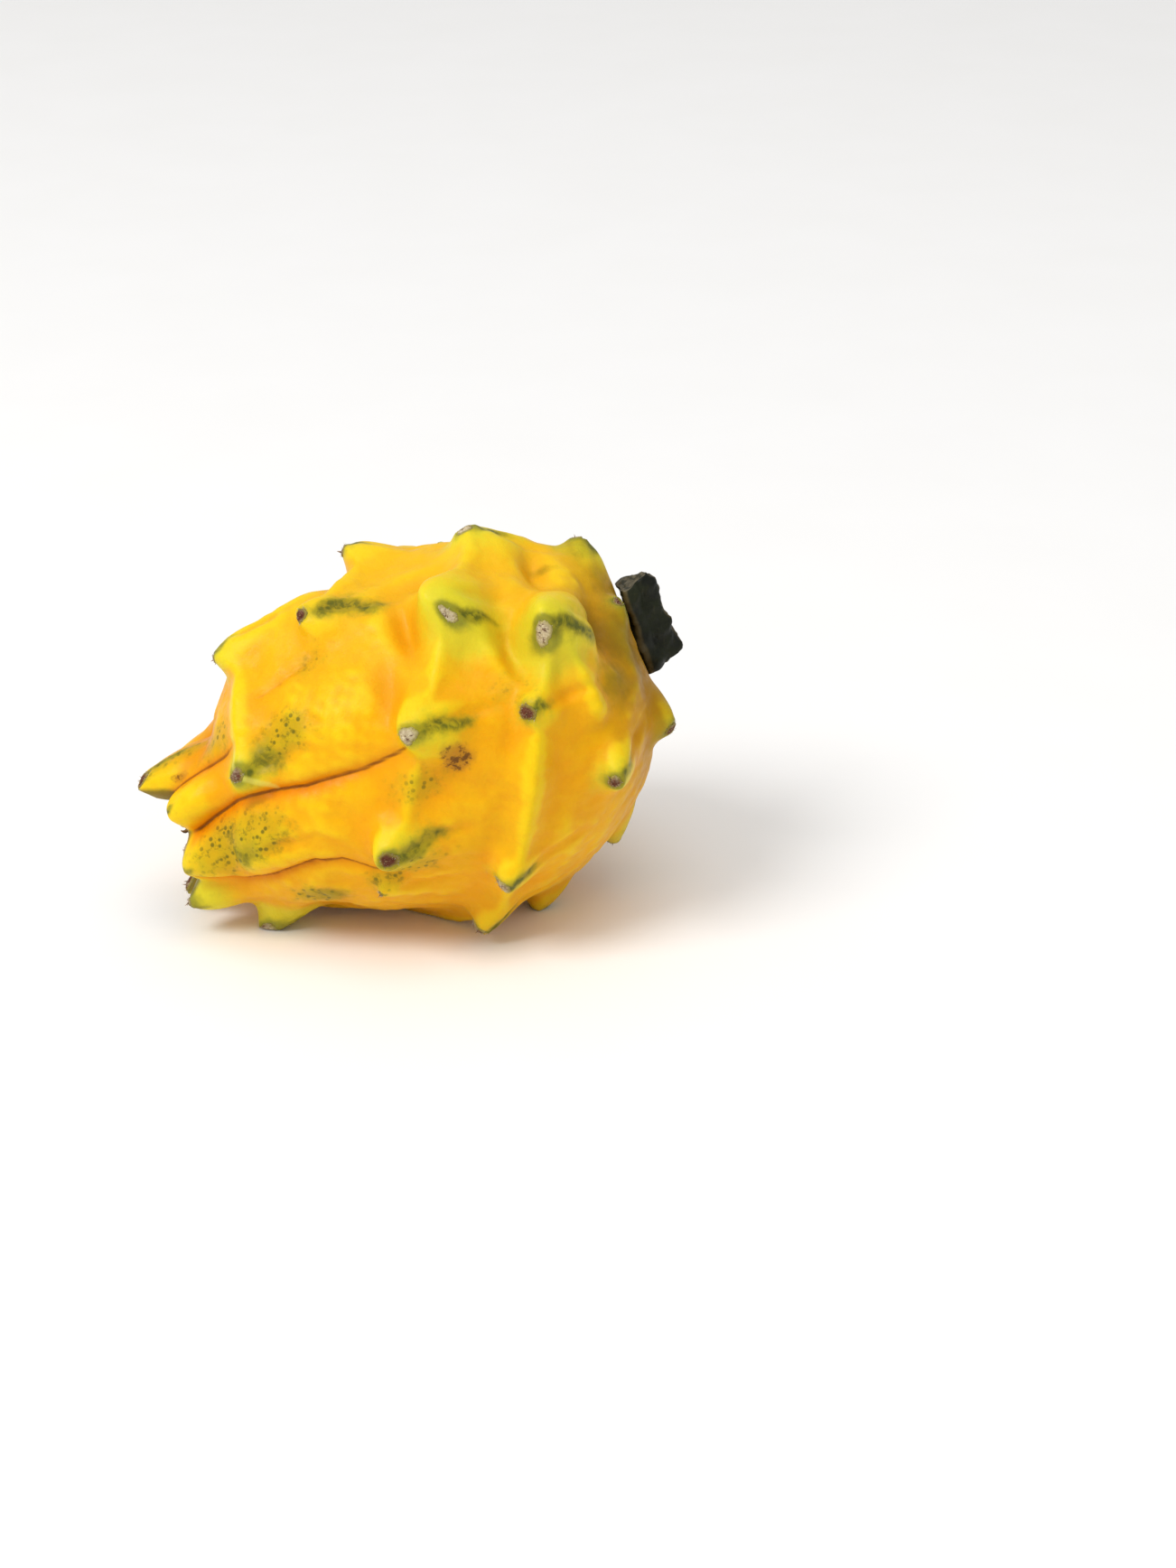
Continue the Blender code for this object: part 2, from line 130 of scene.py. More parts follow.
# Folds of the peel: depth, then arc and turn of the places along it
FOLDS = (
    (2.6, (18, 161), (23, 157), (30, 154), (35, 155), (48, 160), (62, 160), (78, 156)),
    (1.9, (19, 199), (22, 202), (27, 205), (39, 195), (45, 192), (51, 193), (57, 199), (66, 202)),
    (1.9, (13, 117), (21, 121), (31, 128), (38, 131)),
    (0.9, (45, 118), (53, 116), (62, 113)),
    (1.9, (13, 252), (26, 258), (39, 256)),
    (1.9, (13, 297), (26, 295), (39, 301)),
    (1.9, (13, 340), (26, 346), (39, 344)),
    (1.9, (13, 25), (26, 23), (39, 29)),
    (1.9, (13, 68), (26, 74), (39, 72)),
)
FOLD_WIDTHS = (1.4, 2.6)
FOLD_FADES = 0.55
FOLD_RUN_OUT = 4
FOLD_MOUTH = 2
WAVE_HEIGHT = 0.8
WAVE_RADIUS = 20
# Ridges that join tubercles out of their row: arc and turn at both ends, height, half width
CROSS_RIDGES = (
    (108, 134, 112, 166, 3.8, 3.6), (47, 92, 62, 89, 3.8, 7.5), (89, 119, 100, 158, 2.4, 4.5),
)
# Hollows beside the tubercles: arc, turn, half length along the fruit, half width round it, depth
HOLLOWS = (
    (79, 117, 3, 9, 4.2), (98.5, 131, 2.8, 10, 3.4), (110, 100, 3.4, 7, 3.4),
    (123, 134, 5, 10, 4.2), (84, 99, 8, 3.2, 2.6), (71, 172, 8, 4.5, 1.2), (72, 138, 4, 9, 2.6),
    (25, 91, 6, 10, 4.4), (56, 138, 16, 9, -1.6), (45, 236, 6, 7, 3.2),
    (54, 95, 9, 9, -1.8),
)
# The far side of the blossom mouth is pulled back towards the stem end
SLANT_FROM = -30
SLANT_LENGTH = 12
MOUTH_SLANT = 0.3

# Finer form of the dressed fruit
SEGMENTS = 384
RINGS = 250
# Areoles by the arc and turn of their tubercle: pad radius, pad brownness, streak start, length and half
# width, share of green round them, and how far they lie ahead of the tubercle's tip and aside of it. The
# others get seeded values from the usual spans and lie the usual length ahead.
AREOLES = {
    (17, 91): (1.6, 0.9, 3, 5, 0.7, 0.45, -0.6, 0.6),
    (18, 187): (0, 0.8, 2, 4, 0.6, 0.6, 1.8, 0),
    (18, 230): (1.1, 0.5, 2, 4, 0.8, 1.5, 1.2, -0.8),
    (19, 137): (0, 0.6, 2, 3, 0.5, 0.2, 1.8, 0),
    (32, 181): (0, 0.5, 0, 7, 1.6, 0.6, 1.8, 0),
    (33, 252): (1.9, 0.5, 2, 7, 1.2, 1.5, 0.2, -2.2),
    (36, 146): (1.7, 0.7, 3.2, 10, 2, 1.1, 0, -0.6),
    (44, 91): (1, 0.7, 1.5, 6, 0.8, 0.9, 1.8, 0),
    (60, 209): (0.7, 1, 1, 3, 0.5, 0.3, 1.8, 0),
    (63, 103): (1.6, 0.8, 4.8, 12.5, 2.1, 0.5, 0.9, 0.6),
    (64, 188): (2, 0.95, 2.5, 10, 1.5, 0.9, -1.4, 0),
    (76, 70): (1.3, 0.8, 1, 8, 0.8, 0.6, 1.8, 0),
    (77, 153): (2.1, 0.3, 3, 11, 1.1, 0.8, 0.2, 1),
    (79, 234): (1.9, 0.5, 2, 8, 1.1, 0.6, 1.8, 0),
    (86, 208): (1.9, 0.4, 2, 8, 1.1, 0.7, 1.8, 0),
    (89, 119): (1.3, 0.3, 3.6, 6.5, 0.8, 1.2, -1.1, 4.6),
    (91, 260): (1.8, 0.5, 2, 8, 1.1, 0.6, 1.8, 0),
    (99, 86): (2.1, 0.3, 3, 8, 0.7, 0.9, 1.2, -1),
    (100, 158): (2, 0.85, 2, 6, 1, 0.7, 1.8, 0),
    (108, 134): (1.9, 0.25, 3, 12, 1.1, 1.3, 2.6, 3.2),
    (123, 74): (1.7, 0.4, 2, 8, 1.8, 1.3, 1.8, 0),
    (133, 112): (1.3, 0.8, 2, 6, 1.4, 1, 1.8, 0),
}
USUAL_SPANS = ((1.5, 2.3), (0.15, 0.8), (2.2, 3.2), (6, 11), (0.8, 1.4), (0.6, 1))
AREOLE_AHEAD = 1.8
# Patches of the peel: arc, turn, half length along the fruit, half width round it, strength
SPECKLED = (
    (26, 176, 7, 6.5, 1), (35, 173, 7, 5.5, 0.9), (48, 139, 7, 4.5, 0.9), (43, 213, 5, 3.5, 1),
    (23, 97, 8, 2.5, 0.5), (59, 204, 5, 3, 0.7), (30, 117, 6, 4, 0.6), (72, 170, 8, 4, 0.5),
    (31, 168, 6, 4, 0.6), (58, 116, 8, 4, 0.4), (95, 150, 6, 5, 0.35),
)
# More patches with a seeded place: their number, then spans of the same five values
MORE_SPECKLED = 12
MORE_SPANS = ((25, 140), (190, 430), (4, 9), (3, 6), (0.3, 0.8))
# Dull green patches, partly the peel's own tint and partly painted shade on the flank of the stem end and in
# the pocket under a fold
OLIVE_AND_SHADE_PATCHES = (
    (112, 98, 4.5, 2.2, 0.65), (121, 133, 7, 9, 0.9), (128, 96, 10, 6, 0.6),
    (131, 140, 9, 12, 1), (121, 162, 9, 8, 0.8), (115, 132, 5, 6, 0.45),
    (36.5, 158, 5.5, 1.5, 0.95), (46, 212, 6, 4, 0.9), (29, 175, 10, 6.5, 0.5),
    (49, 139, 6, 3.5, 0.55), (33, 250, 4, 5, 0.6), (121, 78, 6, 8, 0.7),
)
SCABS = ((81.5, 165, 3.6, 3.2, 1.2), (16, 86, 1.6, 1.6, 0.7), (19, 115, 1.6, 1.4, 0.8))
# Pale lines that meet at one areole: its arc and turn, then how far each goes along and round
RAYS = ((35.6, 142, 0.8, -6), (37, 146.5, 4.2, 4.2))
RAY_HALF_WIDTH = 0.9
LINE_HALF_WIDTH = 0.5
PIT_DEPTH = 0.5
LIP_HEIGHT = 0.35
LIP_WIDTH = 0.7
LIP_PLACE = 1.25
# Fine waviness of the peel: height, wavelength and seed
PEEL_RIPPLES = ((0.16, 8, 1), (0.07, 3.2, 2))


def lathe_line(points, steps):
    """Smooth line through the lathe points, as arc length, place on the axis and radius."""
    inner = np.array(points, float)
    mirror = np.array([1, -1])
    knots = np.vstack([inner[1] * mirror, inner, inner[-2] * mirror])
    length = np.concatenate([[0], np.cumsum(np.linalg.norm(np.diff(knots, axis=0), axis=1))])
    slope = (knots[2:] - knots[:-2]) / (length[2:] - length[:-2])[:, None]
    at = np.linspace(length[1], length[-2], steps + 1)
    left = np.clip(np.searchsorted(length, at, side="right") - 1, 1, len(knots) - 3)
    span = (length[left + 1] - length[left])[:, None]
    u = (at - length[left])[:, None] / span
    line = (
        (2 * u ** 3 - 3 * u ** 2 + 1) * knots[left]
        + (u ** 3 - 2 * u ** 2 + u) * span * slope[left - 1]
        + (3 * u ** 2 - 2 * u ** 3) * knots[left + 1]
        + (u ** 3 - u ** 2) * span * slope[left]
    )
    line[:, 1] = np.maximum(line[:, 1], 0)
    arc = np.concatenate([[0], np.cumsum(np.linalg.norm(np.diff(line, axis=0), axis=1))])
    return arc, line[:, 0], line[:, 1]


def polar(along, out, angle):
    """Points at a place along the axis, a distance off it and an angle round it."""
    return np.stack([along, out * np.cos(angle), out * np.sin(angle)], -1)


SLOPE_STEP = 0.3


def place(line, arc, turn):
    """Point of the smooth fruit, its outward normal and the direction to the blossom end."""
    def at(arc):
        return np.array([np.interp(arc, line[0], value) for value in line[1:]])

    along, out = at(arc)
    rise, swell = at(arc + SLOPE_STEP) - at(arc - SLOPE_STEP)
    size = np.hypot(rise, swell)
    rise, swell = rise / size, swell / size
    return polar(along, out, turn), polar(-swell, rise, turn), polar(-rise, -swell, turn)


def bend(points):
    """Sag of the blossom end, slant of its mouth and lift of the stem end."""
    bent = points.copy()
    slant = ramp(points[..., 0], (SLANT_FROM, SLANT_FROM - SLANT_LENGTH))
    bent[..., 0] += MOUTH_SLANT * slant * np.maximum(points[..., 1], 0)
    sag = np.clip((BEND_STARTS[0] - points[..., 0]) / BEND_LENGTH, 0, None) ** 1.5
    lift = np.clip((points[..., 0] - BEND_STARTS[1]) / BEND_LENGTH, 0, None) ** 1.5
    bent[..., 2] += STEM_LIFT * lift - BLOSSOM_SAG * sag
    return bent


def lay(points):
    """From the frame of the fruit to the frame of the part, both in millimetres."""
    bent = bend(points)
    c, s = np.cos(TIP_UP), np.sin(TIP_UP)
    x = bent[..., 0] * c - bent[..., 2] * s - CENTRE_X
    z = bent[..., 0] * s + bent[..., 2] * c - FLOOR_LEVEL
    return np.stack([x, bent[..., 1] - CENTRE_Y, z], -1)


def ramp(value, ends):
    """0 at the first end, 1 at the second and straight between."""
    return np.clip((value - ends[0]) / (ends[1] - ends[0]), 0, 1)


def ease(value, ends):
    """As ramp, with a smooth start and end."""
    u = ramp(value, ends)
    return u * u * (3 - 2 * u)


def bell(value, half_width, power=2):
    """1 at the value 0, falling to 0 beside it."""
    return np.exp(-(value / half_width) ** power)


def all_tips(line):
    """Placed tubercles, then the others where there is room, the lowest ones pressed level by the table."""
    rng = np.random.default_rng(SEED)
    tips = list(PLACED_TIPS)
    for turn in RIM_TURNS:
        arc = RIM_ARC + rng.uniform(-1, 1)
        turn = turn + rng.uniform(-5, 5)
        height = RIM_HEIGHT + rng.uniform(-1, 1)
        tips.append((arc, turn, height, RIM_HALF_WIDTH, FRONT_LENGTH, BACK_LENGTHS[0]))

    def spot(arc, turn):
        return place(line, arc, np.radians(turn))[0]

    for k in range(*SPIRAL_SPAN):
        arc = SPIRAL_START[0] + SPIRAL_STEP * k + rng.uniform(-ARC_DRIFT, ARC_DRIFT)
        turn = (SPIRAL_START[1] + SPIRAL_TURN * k + rng.uniform(-TURN_DRIFT, TURN_DRIFT)) % 360
        height = SPIRAL_HEIGHT + rng.uniform(-HEIGHT_DRIFT, HEIGHT_DRIFT) - LOW_LOSS * ramp(arc, LOW_ARCS)
        room = SPIRAL_ROOM * (1 - CROWDING * (1 - ramp(arc, CROWDED_ARCS)))
        near = min(np.linalg.norm(spot(arc, turn) - spot(*other[:2])) for other in (*tips, *BARE_PLACES))
        if near > room:
            tips.append((arc, turn, height, SPIRAL_HALF_WIDTH, FRONT_LENGTH, BACK_LENGTHS[1]))

    pressed = []
    for arc, turn, height, *lengths in tips:
        foot, normal, blossomward = place(line, float(arc), np.radians(turn))
        low = lay(foot)[2]
        drop = low - lay(foot + normal + LEAN * blossomward)[2]
        if drop > 0 and low - height * drop < -PRESSED:
            height = (low + PRESSED) / drop
        pressed.append((arc, turn, height, *lengths))
    return pressed


def wrap(angle):
    """The same angle between minus and plus half a turn."""
    return np.mod(angle + np.pi, 2 * np.pi) - np.pi


def next_in_row(tip, tips):
    """Steps in arc and in turn to the next tubercle along the spiral row, or None."""
    best = None
    for other in tips:
        ahead = other[0] - tip[0]
        round_by = (other[1] - tip[1] + 180) % 360 - 180
        miss = np.hypot(ahead - RIDGE_STEP[0], (round_by - RIDGE_STEP[1]) * TURN_WEIGHT)
        if ahead > RIDGE_LEAST_STEP and miss < RIDGE_MISS and (best is None or miss < best[0]):
            best = (miss, ahead, np.radians(round_by))
    return best and best[1:]


def tubercle(tip, front, side):
    """Height of one tubercle as a share of its tip's, at lengths in front of the tip and beside it."""
    _, _, _, half_width, front_length, back_length = tip
    away = np.hypot(front, CREST) - CREST
    beside = np.hypot(side, CREST) - CREST
    behind = front <= 0
    fall = np.where(behind, np.clip(away / back_length, 0, 1), 0)
    along = np.where(behind, (1 - fall) ** 1.3, bell(away, front_length, 1.2))
    width = SIDE_WIDTHS[0] + (SIDE_WIDTHS[1] - SIDE_WIDTHS[0]) * ramp(back_length, BACK_LENGTHS)
    across = bell(beside, width + SIDE_SPREAD * fall, 1.4)
    reach = np.hypot(np.where(behind, front / KNOB_BACK, front / KNOB_FRONT), side)
    return SWELL_SHARE * along * across + (1 - SWELL_SHARE) * bell(reach, half_width, KNOB_POWER)


def along_folds(arc, turn, radius):
    """Every fold's depth, the arcs of its places and the length beside it."""
    for deepest, *places in FOLDS:
        arcs, turns = np.array(places, float).T
        yield deepest, arcs, radius * wrap(turn - np.radians(np.interp(arc, arcs, turns)))


def fold_depth(arc, turn, radius):
    """Depth of the folds, the deepest where two meet."""
    depth = np.zeros(arc.shape)
    for deepest, arcs, side in along_folds(arc, turn, radius):
        fade = 1 - ramp(arc, (arcs[0] + FOLD_FADES * (arcs[-1] - arcs[0]), arcs[-1] + FOLD_RUN_OUT))
        fade = fade * bell(np.maximum(arcs[0] - arc, 0), FOLD_MOUTH)
        width = np.where(side > 0, FOLD_WIDTHS[1], FOLD_WIDTHS[0])
        depth = np.maximum(depth, deepest * fade * bell(np.abs(side), width, 1))
    return depth


def patch(arc, turn, radius, at_arc, at_turn, half_length, half_width):
    """A soft round patch: 1 in its middle, falling to 0 round it."""
    side = radius * wrap(turn - np.radians(at_turn))
    return np.exp(-((arc - at_arc) / half_length) ** 2 - (side / half_width) ** 2)


def hollow_depth(arc, turn, radius):
    """Depth of the hollows beside the tubercles."""
    depth = np.zeros(arc.shape)
    for *where, deepest in HOLLOWS:
        depth += deepest * patch(arc, turn, radius, *where)
    return depth


def ridge_share(front, side, ahead, aside, half_width):
    """1 on the line from a place to one that lies ahead and aside of it, falling to 0 beside the line."""
    u = np.clip((side * aside - front * ahead) / (ahead ** 2 + aside ** 2), 0, 1)
    off = np.hypot(-front - u * ahead, side - u * aside)
    return bell(off, half_width, 1.6)


def ripple(points, wavelength, seed, count=14):
    """Smooth seeded unevenness between about -1 and 1, from waves in many directions."""
    rng = np.random.default_rng(seed)
    total = np.zeros(points.shape[:-1])
    for _ in range(count):
        heading = rng.normal(size=3)
        heading *= 2 * np.pi / wavelength / np.linalg.norm(heading) * rng.uniform(0.7, 1.4)
        total += np.sin(points @ heading + rng.uniform(0, 2 * np.pi))
    return total / np.sqrt(count)


class Fruit:
    """The lathe line with its tubercles, and the areole that each tubercle carries."""

    def __init__(self):
        self.line = lathe_line(LATHE, LATHE_STEPS)
        self.tips = all_tips(self.line)
        rng = np.random.default_rng(SEED + 1)
        self.areoles = []
        for arc, turn, *_ in self.tips:
            usual = (*(rng.uniform(*span) for span in USUAL_SPANS), AREOLE_AHEAD, 0)
            self.areoles.append(AREOLES.get((arc, turn), usual))

    def radius(self, arc):
        """Radius of the smooth fruit."""
        return np.interp(arc, self.line[0], self.line[2])

    def around(self, arc, turn):
        """Every tubercle with its areole and the lengths in front of and beside its tip."""
        radius = self.radius(arc)
        for tip, areole in zip(self.tips, self.areoles):
            yield tip, areole, tip[0] - arc, radius * wrap(turn - np.radians(tip[1]))

    def surface(self, arc, turn):
        """Points of the peel in the part's frame, in millimetres."""
        point, normal, _ = place(self.line, arc, turn)
        radius = self.radius(arc)
        weight = np.full(arc.shape, 1e-9)
        pull = np.zeros(point.shape)
        groove, ridge, pit = (np.zeros(arc.shape) for _ in range(3))
        for tip, areole, front, side in self.around(arc, turn):
            share = tubercle(tip, front, side)
            _, tip_normal, tip_blossomward = place(self.line, float(tip[0]), np.radians(tip[1]))
            heading = tip_normal + LEAN * tip_blossomward
            part = (tip[2] * share) ** BLEND_POWER
            blend = np.clip(share, 0, 1)[..., None]
            weight += part
            pull += part[..., None] * (normal * (1 - blend) + heading * blend)
            keel = bell(side, GROOVE_HALF_WIDTH) * ramp(-front, (tip[3] / 2, tip[3] / 2 + 2))
            keel = keel * ramp(front, (-GROOVE_END, 8 - GROOVE_END)) * ramp(tip[0], RIM_ARCS)
            groove = np.maximum(groove, GROOVE_DEPTH * keel)
            step = next_in_row(tip, self.tips) if tip[0] > RIM_ARCS[1] else None
            if step:
                aside = step[1] * self.radius(tip[0] + step[0] / 2)
                crest = ridge_share(front, side, step[0], aside, RIDGE_HALF_WIDTH)
                ridge = np.maximum(ridge, RIDGE_HEIGHT * crest)
            if areole[0]:
                near = np.hypot(front - areole[6], side - areole[7]) / areole[0]
                lip = LIP_HEIGHT * bell((near - LIP_PLACE) * areole[0], LIP_WIDTH)
                pit += lip - PIT_DEPTH * bell(near, 1, 4)
        for from_arc, from_turn, to_arc, to_turn, high, half_width in CROSS_RIDGES:
            side = radius * wrap(turn - np.radians(from_turn))
            aside = np.radians(to_turn - from_turn) * self.radius(to_arc)
            share = ridge_share(from_arc - arc, side, to_arc - from_arc, aside, half_width)
            ridge = np.maximum(ridge, high * share)
        ridge_part = ridge ** BLEND_POWER
        height = (weight + ridge_part) ** (1 / BLEND_POWER)
        heading = (pull + normal * ridge_part[..., None]) / (weight + ridge_part)[..., None]
        x, y, z = point[..., 0], point[..., 1], point[..., 2]
        wave = np.sin(0.11 * x + 1 + 2 * np.sin(0.05 * y)) * np.sin(0.13 * y + 0.09 * z)
        wave = WAVE_HEIGHT * wave * ramp(radius, (0, WAVE_RADIUS))
        sink = wave - groove - fold_depth(arc, turn, radius) - hollow_depth(arc, turn, radius) + pit
        for high, wavelength, seed in PEEL_RIPPLES:
            sink = sink + high * ripple(point, wavelength, seed)
        laid = lay(point + height[..., None] * heading + sink[..., None] * normal)
        laid[..., 2] = np.maximum(laid[..., 2], 0)
        return laid * FIT


# Meshes
def new_object(name, data):
    """An object of the scene that shows the data."""
    thing = bpy.data.objects.new(name, data)
    bpy.context.scene.collection.objects.link(thing)
    return thing


def piece_from(name, points, faces, material, body="root"):
    """A smooth mesh object in metres from points in millimetres."""
    mesh = bpy.data.meshes.new(name)
    mesh.from_pydata((points * MM).tolist(), [], faces)
    mesh.polygons.foreach_set("use_smooth", np.ones(len(mesh.polygons), bool))
    mesh.materials.append(material)
    piece = new_object(name, mesh)
    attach(piece, body)
    return piece


def face_out(piece):
    """Turns the faces of the piece's closed forms outwards."""
    mesh = bmesh.new()
    mesh.from_mesh(piece.data)
    bmesh.ops.recalc_face_normals(mesh, faces=mesh.faces)
    mesh.to_mesh(piece.data)
    mesh.free()


def set_mask(piece, name, values):
    """Gives every vertex a value that the piece's material reads by name."""
    attribute = piece.data.attributes.new(name, "FLOAT", "POINT")
    attribute.data.foreach_set("value", np.asarray(values, np.float32).ravel())


def closed_net(rings, segments):
    """Faces of a ball-like net: one pole, rings - 1 rows of vertices, the other pole."""
    faces = []
    last = 1 + (rings - 1) * segments
    for j in range(segments):
        k = (j + 1) % segments
        faces.append((0, 1 + k, 1 + j))
        for i in range(rings - 2):
            row = 1 + i * segments
            faces.append((row + j, row + k, row + segments + k, row + segments + j))
        faces.append((last - segments + j, last - segments + k, last))
    return faces


def net_places(rings, segments, length):
    """Arc and turn of every vertex of the net."""
    rows = np.linspace(0, length, rings + 1)[1:-1]
    turns = np.linspace(0, 2 * np.pi, segments, endpoint=False)
    arc, turn = np.meshgrid(rows, turns, indexing="ij")
    return np.concatenate([[0], arc.ravel(), [length]]), np.concatenate([[0], turn.ravel(), [0]])


RELAX_SHARE = 0.22


def relax(values, rings, segments, passes):
    """Values smoothed over the net, pass by pass."""
    first, last = values[:1].copy(), values[-1:].copy()
    grid = values[1:-1].reshape(rings - 1, segments, -1).copy()
    for _ in range(passes):
        above = np.concatenate([np.broadcast_to(first, (1, segments, grid.shape[2])), grid[:-1]])
        below = np.concatenate([grid[1:], np.broadcast_to(last, (1, segments, grid.shape[2]))])
        beside = np.roll(grid, 1, 1) + np.roll(grid, -1, 1)
        grid = grid + RELAX_SHARE * (above + below + beside - 4 * grid)
        first, last = grid[0].mean(0)[None], grid[-1].mean(0)[None]
    return np.concatenate([first, grid.reshape(-1, grid.shape[2]), last])


# Masks of high and low places: name, smoothing passes, and the height in millimetres that fills them
RELIEF_MASKS = (("fine", 12, 0.16), ("broad", 110, 1.3))


def build_peel(fruit, material):
    """The whole peel as one closed net, with the masks that its material reads."""
    arc, turn = net_places(RINGS, SEGMENTS, fruit.line[0][-1])
    points = inside_box(fruit.surface(arc, turn))
    piece = piece_from("peel", points, closed_net(RINGS, SEGMENTS), material)
    normals = np.zeros(len(points) * 3)
    piece.data.vertex_normals.foreach_get("vector", normals)
    normals = normals.reshape(-1, 3)
    for name, passes, size in RELIEF_MASKS:
        rise = np.sum((points - relax(points, RINGS, SEGMENTS, passes)) * normals, axis=1)
        set_mask(piece, name, np.clip(0.5 + 0.5 * rise / size, 0, 1))
    for name, values in markings(fruit, arc, turn, points).items():
        set_mask(piece, name, np.clip(values, 0, 1))
    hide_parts("fruit_body")


def patch_share(arc, turn, radius, patches):
    """Share of the strongest patch at every place."""
    share = np.zeros(arc.shape)
    for *where, strength in patches:
        share = np.maximum(share, strength * patch(arc, turn, radius, *where))
    return share


# A fold of this depth has a full dark line of painted shade, which starts before the fold and fades round
# its end
LINE_FULL = 2.2
LINE_START = 3
LINE_END = (-8, 2)


def fold_line(arc, turn, radius):
    """1 in the bottom of a fold and 0 a little beside it."""
    share = np.zeros(arc.shape)
    for deepest, arcs, side in along_folds(arc, turn, radius):
        run = ease(arc, (arcs[0] - LINE_START, arcs[0]))
        run = run * (1 - ease(arc, (arcs[-1] + LINE_END[0], arcs[-1] + LINE_END[1])))
        strength = min(deepest / LINE_FULL, 1) * run
        share = np.maximum(share, strength * bell(side, LINE_HALF_WIDTH))
    return share


# Lime over a knob and green ring round its areole
LIME_REACH = 1.15
LIME_FALL = 1.8
REACH_BEHIND = 0.75
RING_GAP = 0.1
RING_WIDTH = 1.1
RING_FALL = 1.2
# Streak behind an areole: its width, sway and edge, and the shares of its length where it starts and fades
STREAK_WIDTH = 1.7
STREAK_SWAY = 0.5
STREAK_FALL = 1.6
STREAK_START = (-0.15, 0.1)
STREAK_END = (0.5, 1.3)


def areole_greens(fruit, arc, turn):
    """Masks of the lime, the ring and the streak of every areole."""
    lime, ring, streak = (np.zeros(arc.shape) for _ in range(3))
    for tip, areole, front, side in fruit.around(arc, turn):
        pad, _, start, length, width, green, shift, aside = areole
        ahead = front - shift
        side = side - aside
        near = np.hypot(ahead * np.where(ahead < 0, REACH_BEHIND, 1), side)
        lime = np.maximum(lime, green * bell(near, LIME_REACH * tip[3], LIME_FALL))
        off = np.maximum(near - pad - RING_GAP, 0)
        ring = np.maximum(ring, green * bell(off, RING_WIDTH, RING_FALL))
        u = (AREOLE_AHEAD - ahead - start) / length
        along = np.clip(u, 0, 1)
        taper = STREAK_WIDTH * width * (0.6 + 1.6 * along * (1 - along))
        sway = STREAK_SWAY * width * np.sin(2.4 * along * np.pi + tip[1])
        run = ease(u, STREAK_START) * (1 - ease(u, STREAK_END))
        streak = np.maximum(streak, run * bell(np.abs(side - sway), taper, STREAK_FALL))
    return {"lime": lime, "ring": ring, "streak": streak}


def ray_share(fruit, arc, turn):
    """1 on the pale lines that meet at one areole and 0 beside them."""
    share = np.zeros(arc.shape)
    for tip_arc, tip_turn, along, across in RAYS:
        side = fruit.radius(tip_arc) * wrap(turn - np.radians(tip_turn))
        share = np.maximum(share, ridge_share(tip_arc - arc, side, along, across, RAY_HALF_WIDTH))
    return share


# Depths that fill the masks of hollows and folds, then arcs and heights over which the other masks change
HOLLOW_FULL = 3.5
FOLD_FULL = 2
MOUTH_ARCS = (14.6, 17.6)
STEMWARD_ARCS = (100, 146)
LOW_LEVELS = (3, 24)
# Heights over which the painted light on the top comes in
PAINTED_LIGHT_LEVELS = (52, 80)


def markings(fruit, arc, turn, points):
    """Masks from 0 to 1 that the peel's material reads."""
    radius = fruit.radius(arc)
    rng = np.random.default_rng(SEED + 4)
    more = [[rng.uniform(*span) for span in MORE_SPANS] for _ in range(MORE_SPECKLED)]
    return {
        **areole_greens(fruit, arc, turn),
        "speckle": patch_share(arc, turn, radius, (*SPECKLED, *more)),
        # These patches are partly painted shade
        "olive_and_shade": patch_share(arc, turn, radius, OLIVE_AND_SHADE_PATCHES),
        "scab": patch_share(arc, turn, radius, SCABS),
        # The hollow mask carries painted shade
        "hollow": hollow_depth(arc, turn, radius) / HOLLOW_FULL,
        # The fold and line masks carry painted shade
        "fold": fold_depth(arc, turn, radius) / FOLD_FULL,
        "line": fold_line(arc, turn, radius),
        "mouth": 1 - ease(arc, MOUTH_ARCS),
        # Partly painted shade at the stem end
        "stemward_tone_and_shade": ease(arc, STEMWARD_ARCS),
        "low": 1 - ease(points[:, 2], LOW_LEVELS),
        # Painted light, lighter towards the top
        "high": ease(points[:, 2], PAINTED_LIGHT_LEVELS),
        "ray": ray_share(fruit, arc, turn),
    }


# Materials
def rgb(red, green, blue):
    """Linear colour from the eight-bit values that a screen shows."""
    value = np.array([red, green, blue]) / 255
    linear = np.where(value <= 0.04045, value / 12.92, ((value + 0.055) / 1.055) ** 2.4)
    return (*linear.tolist(), 1)


WHITE = (1, 1, 1, 1)


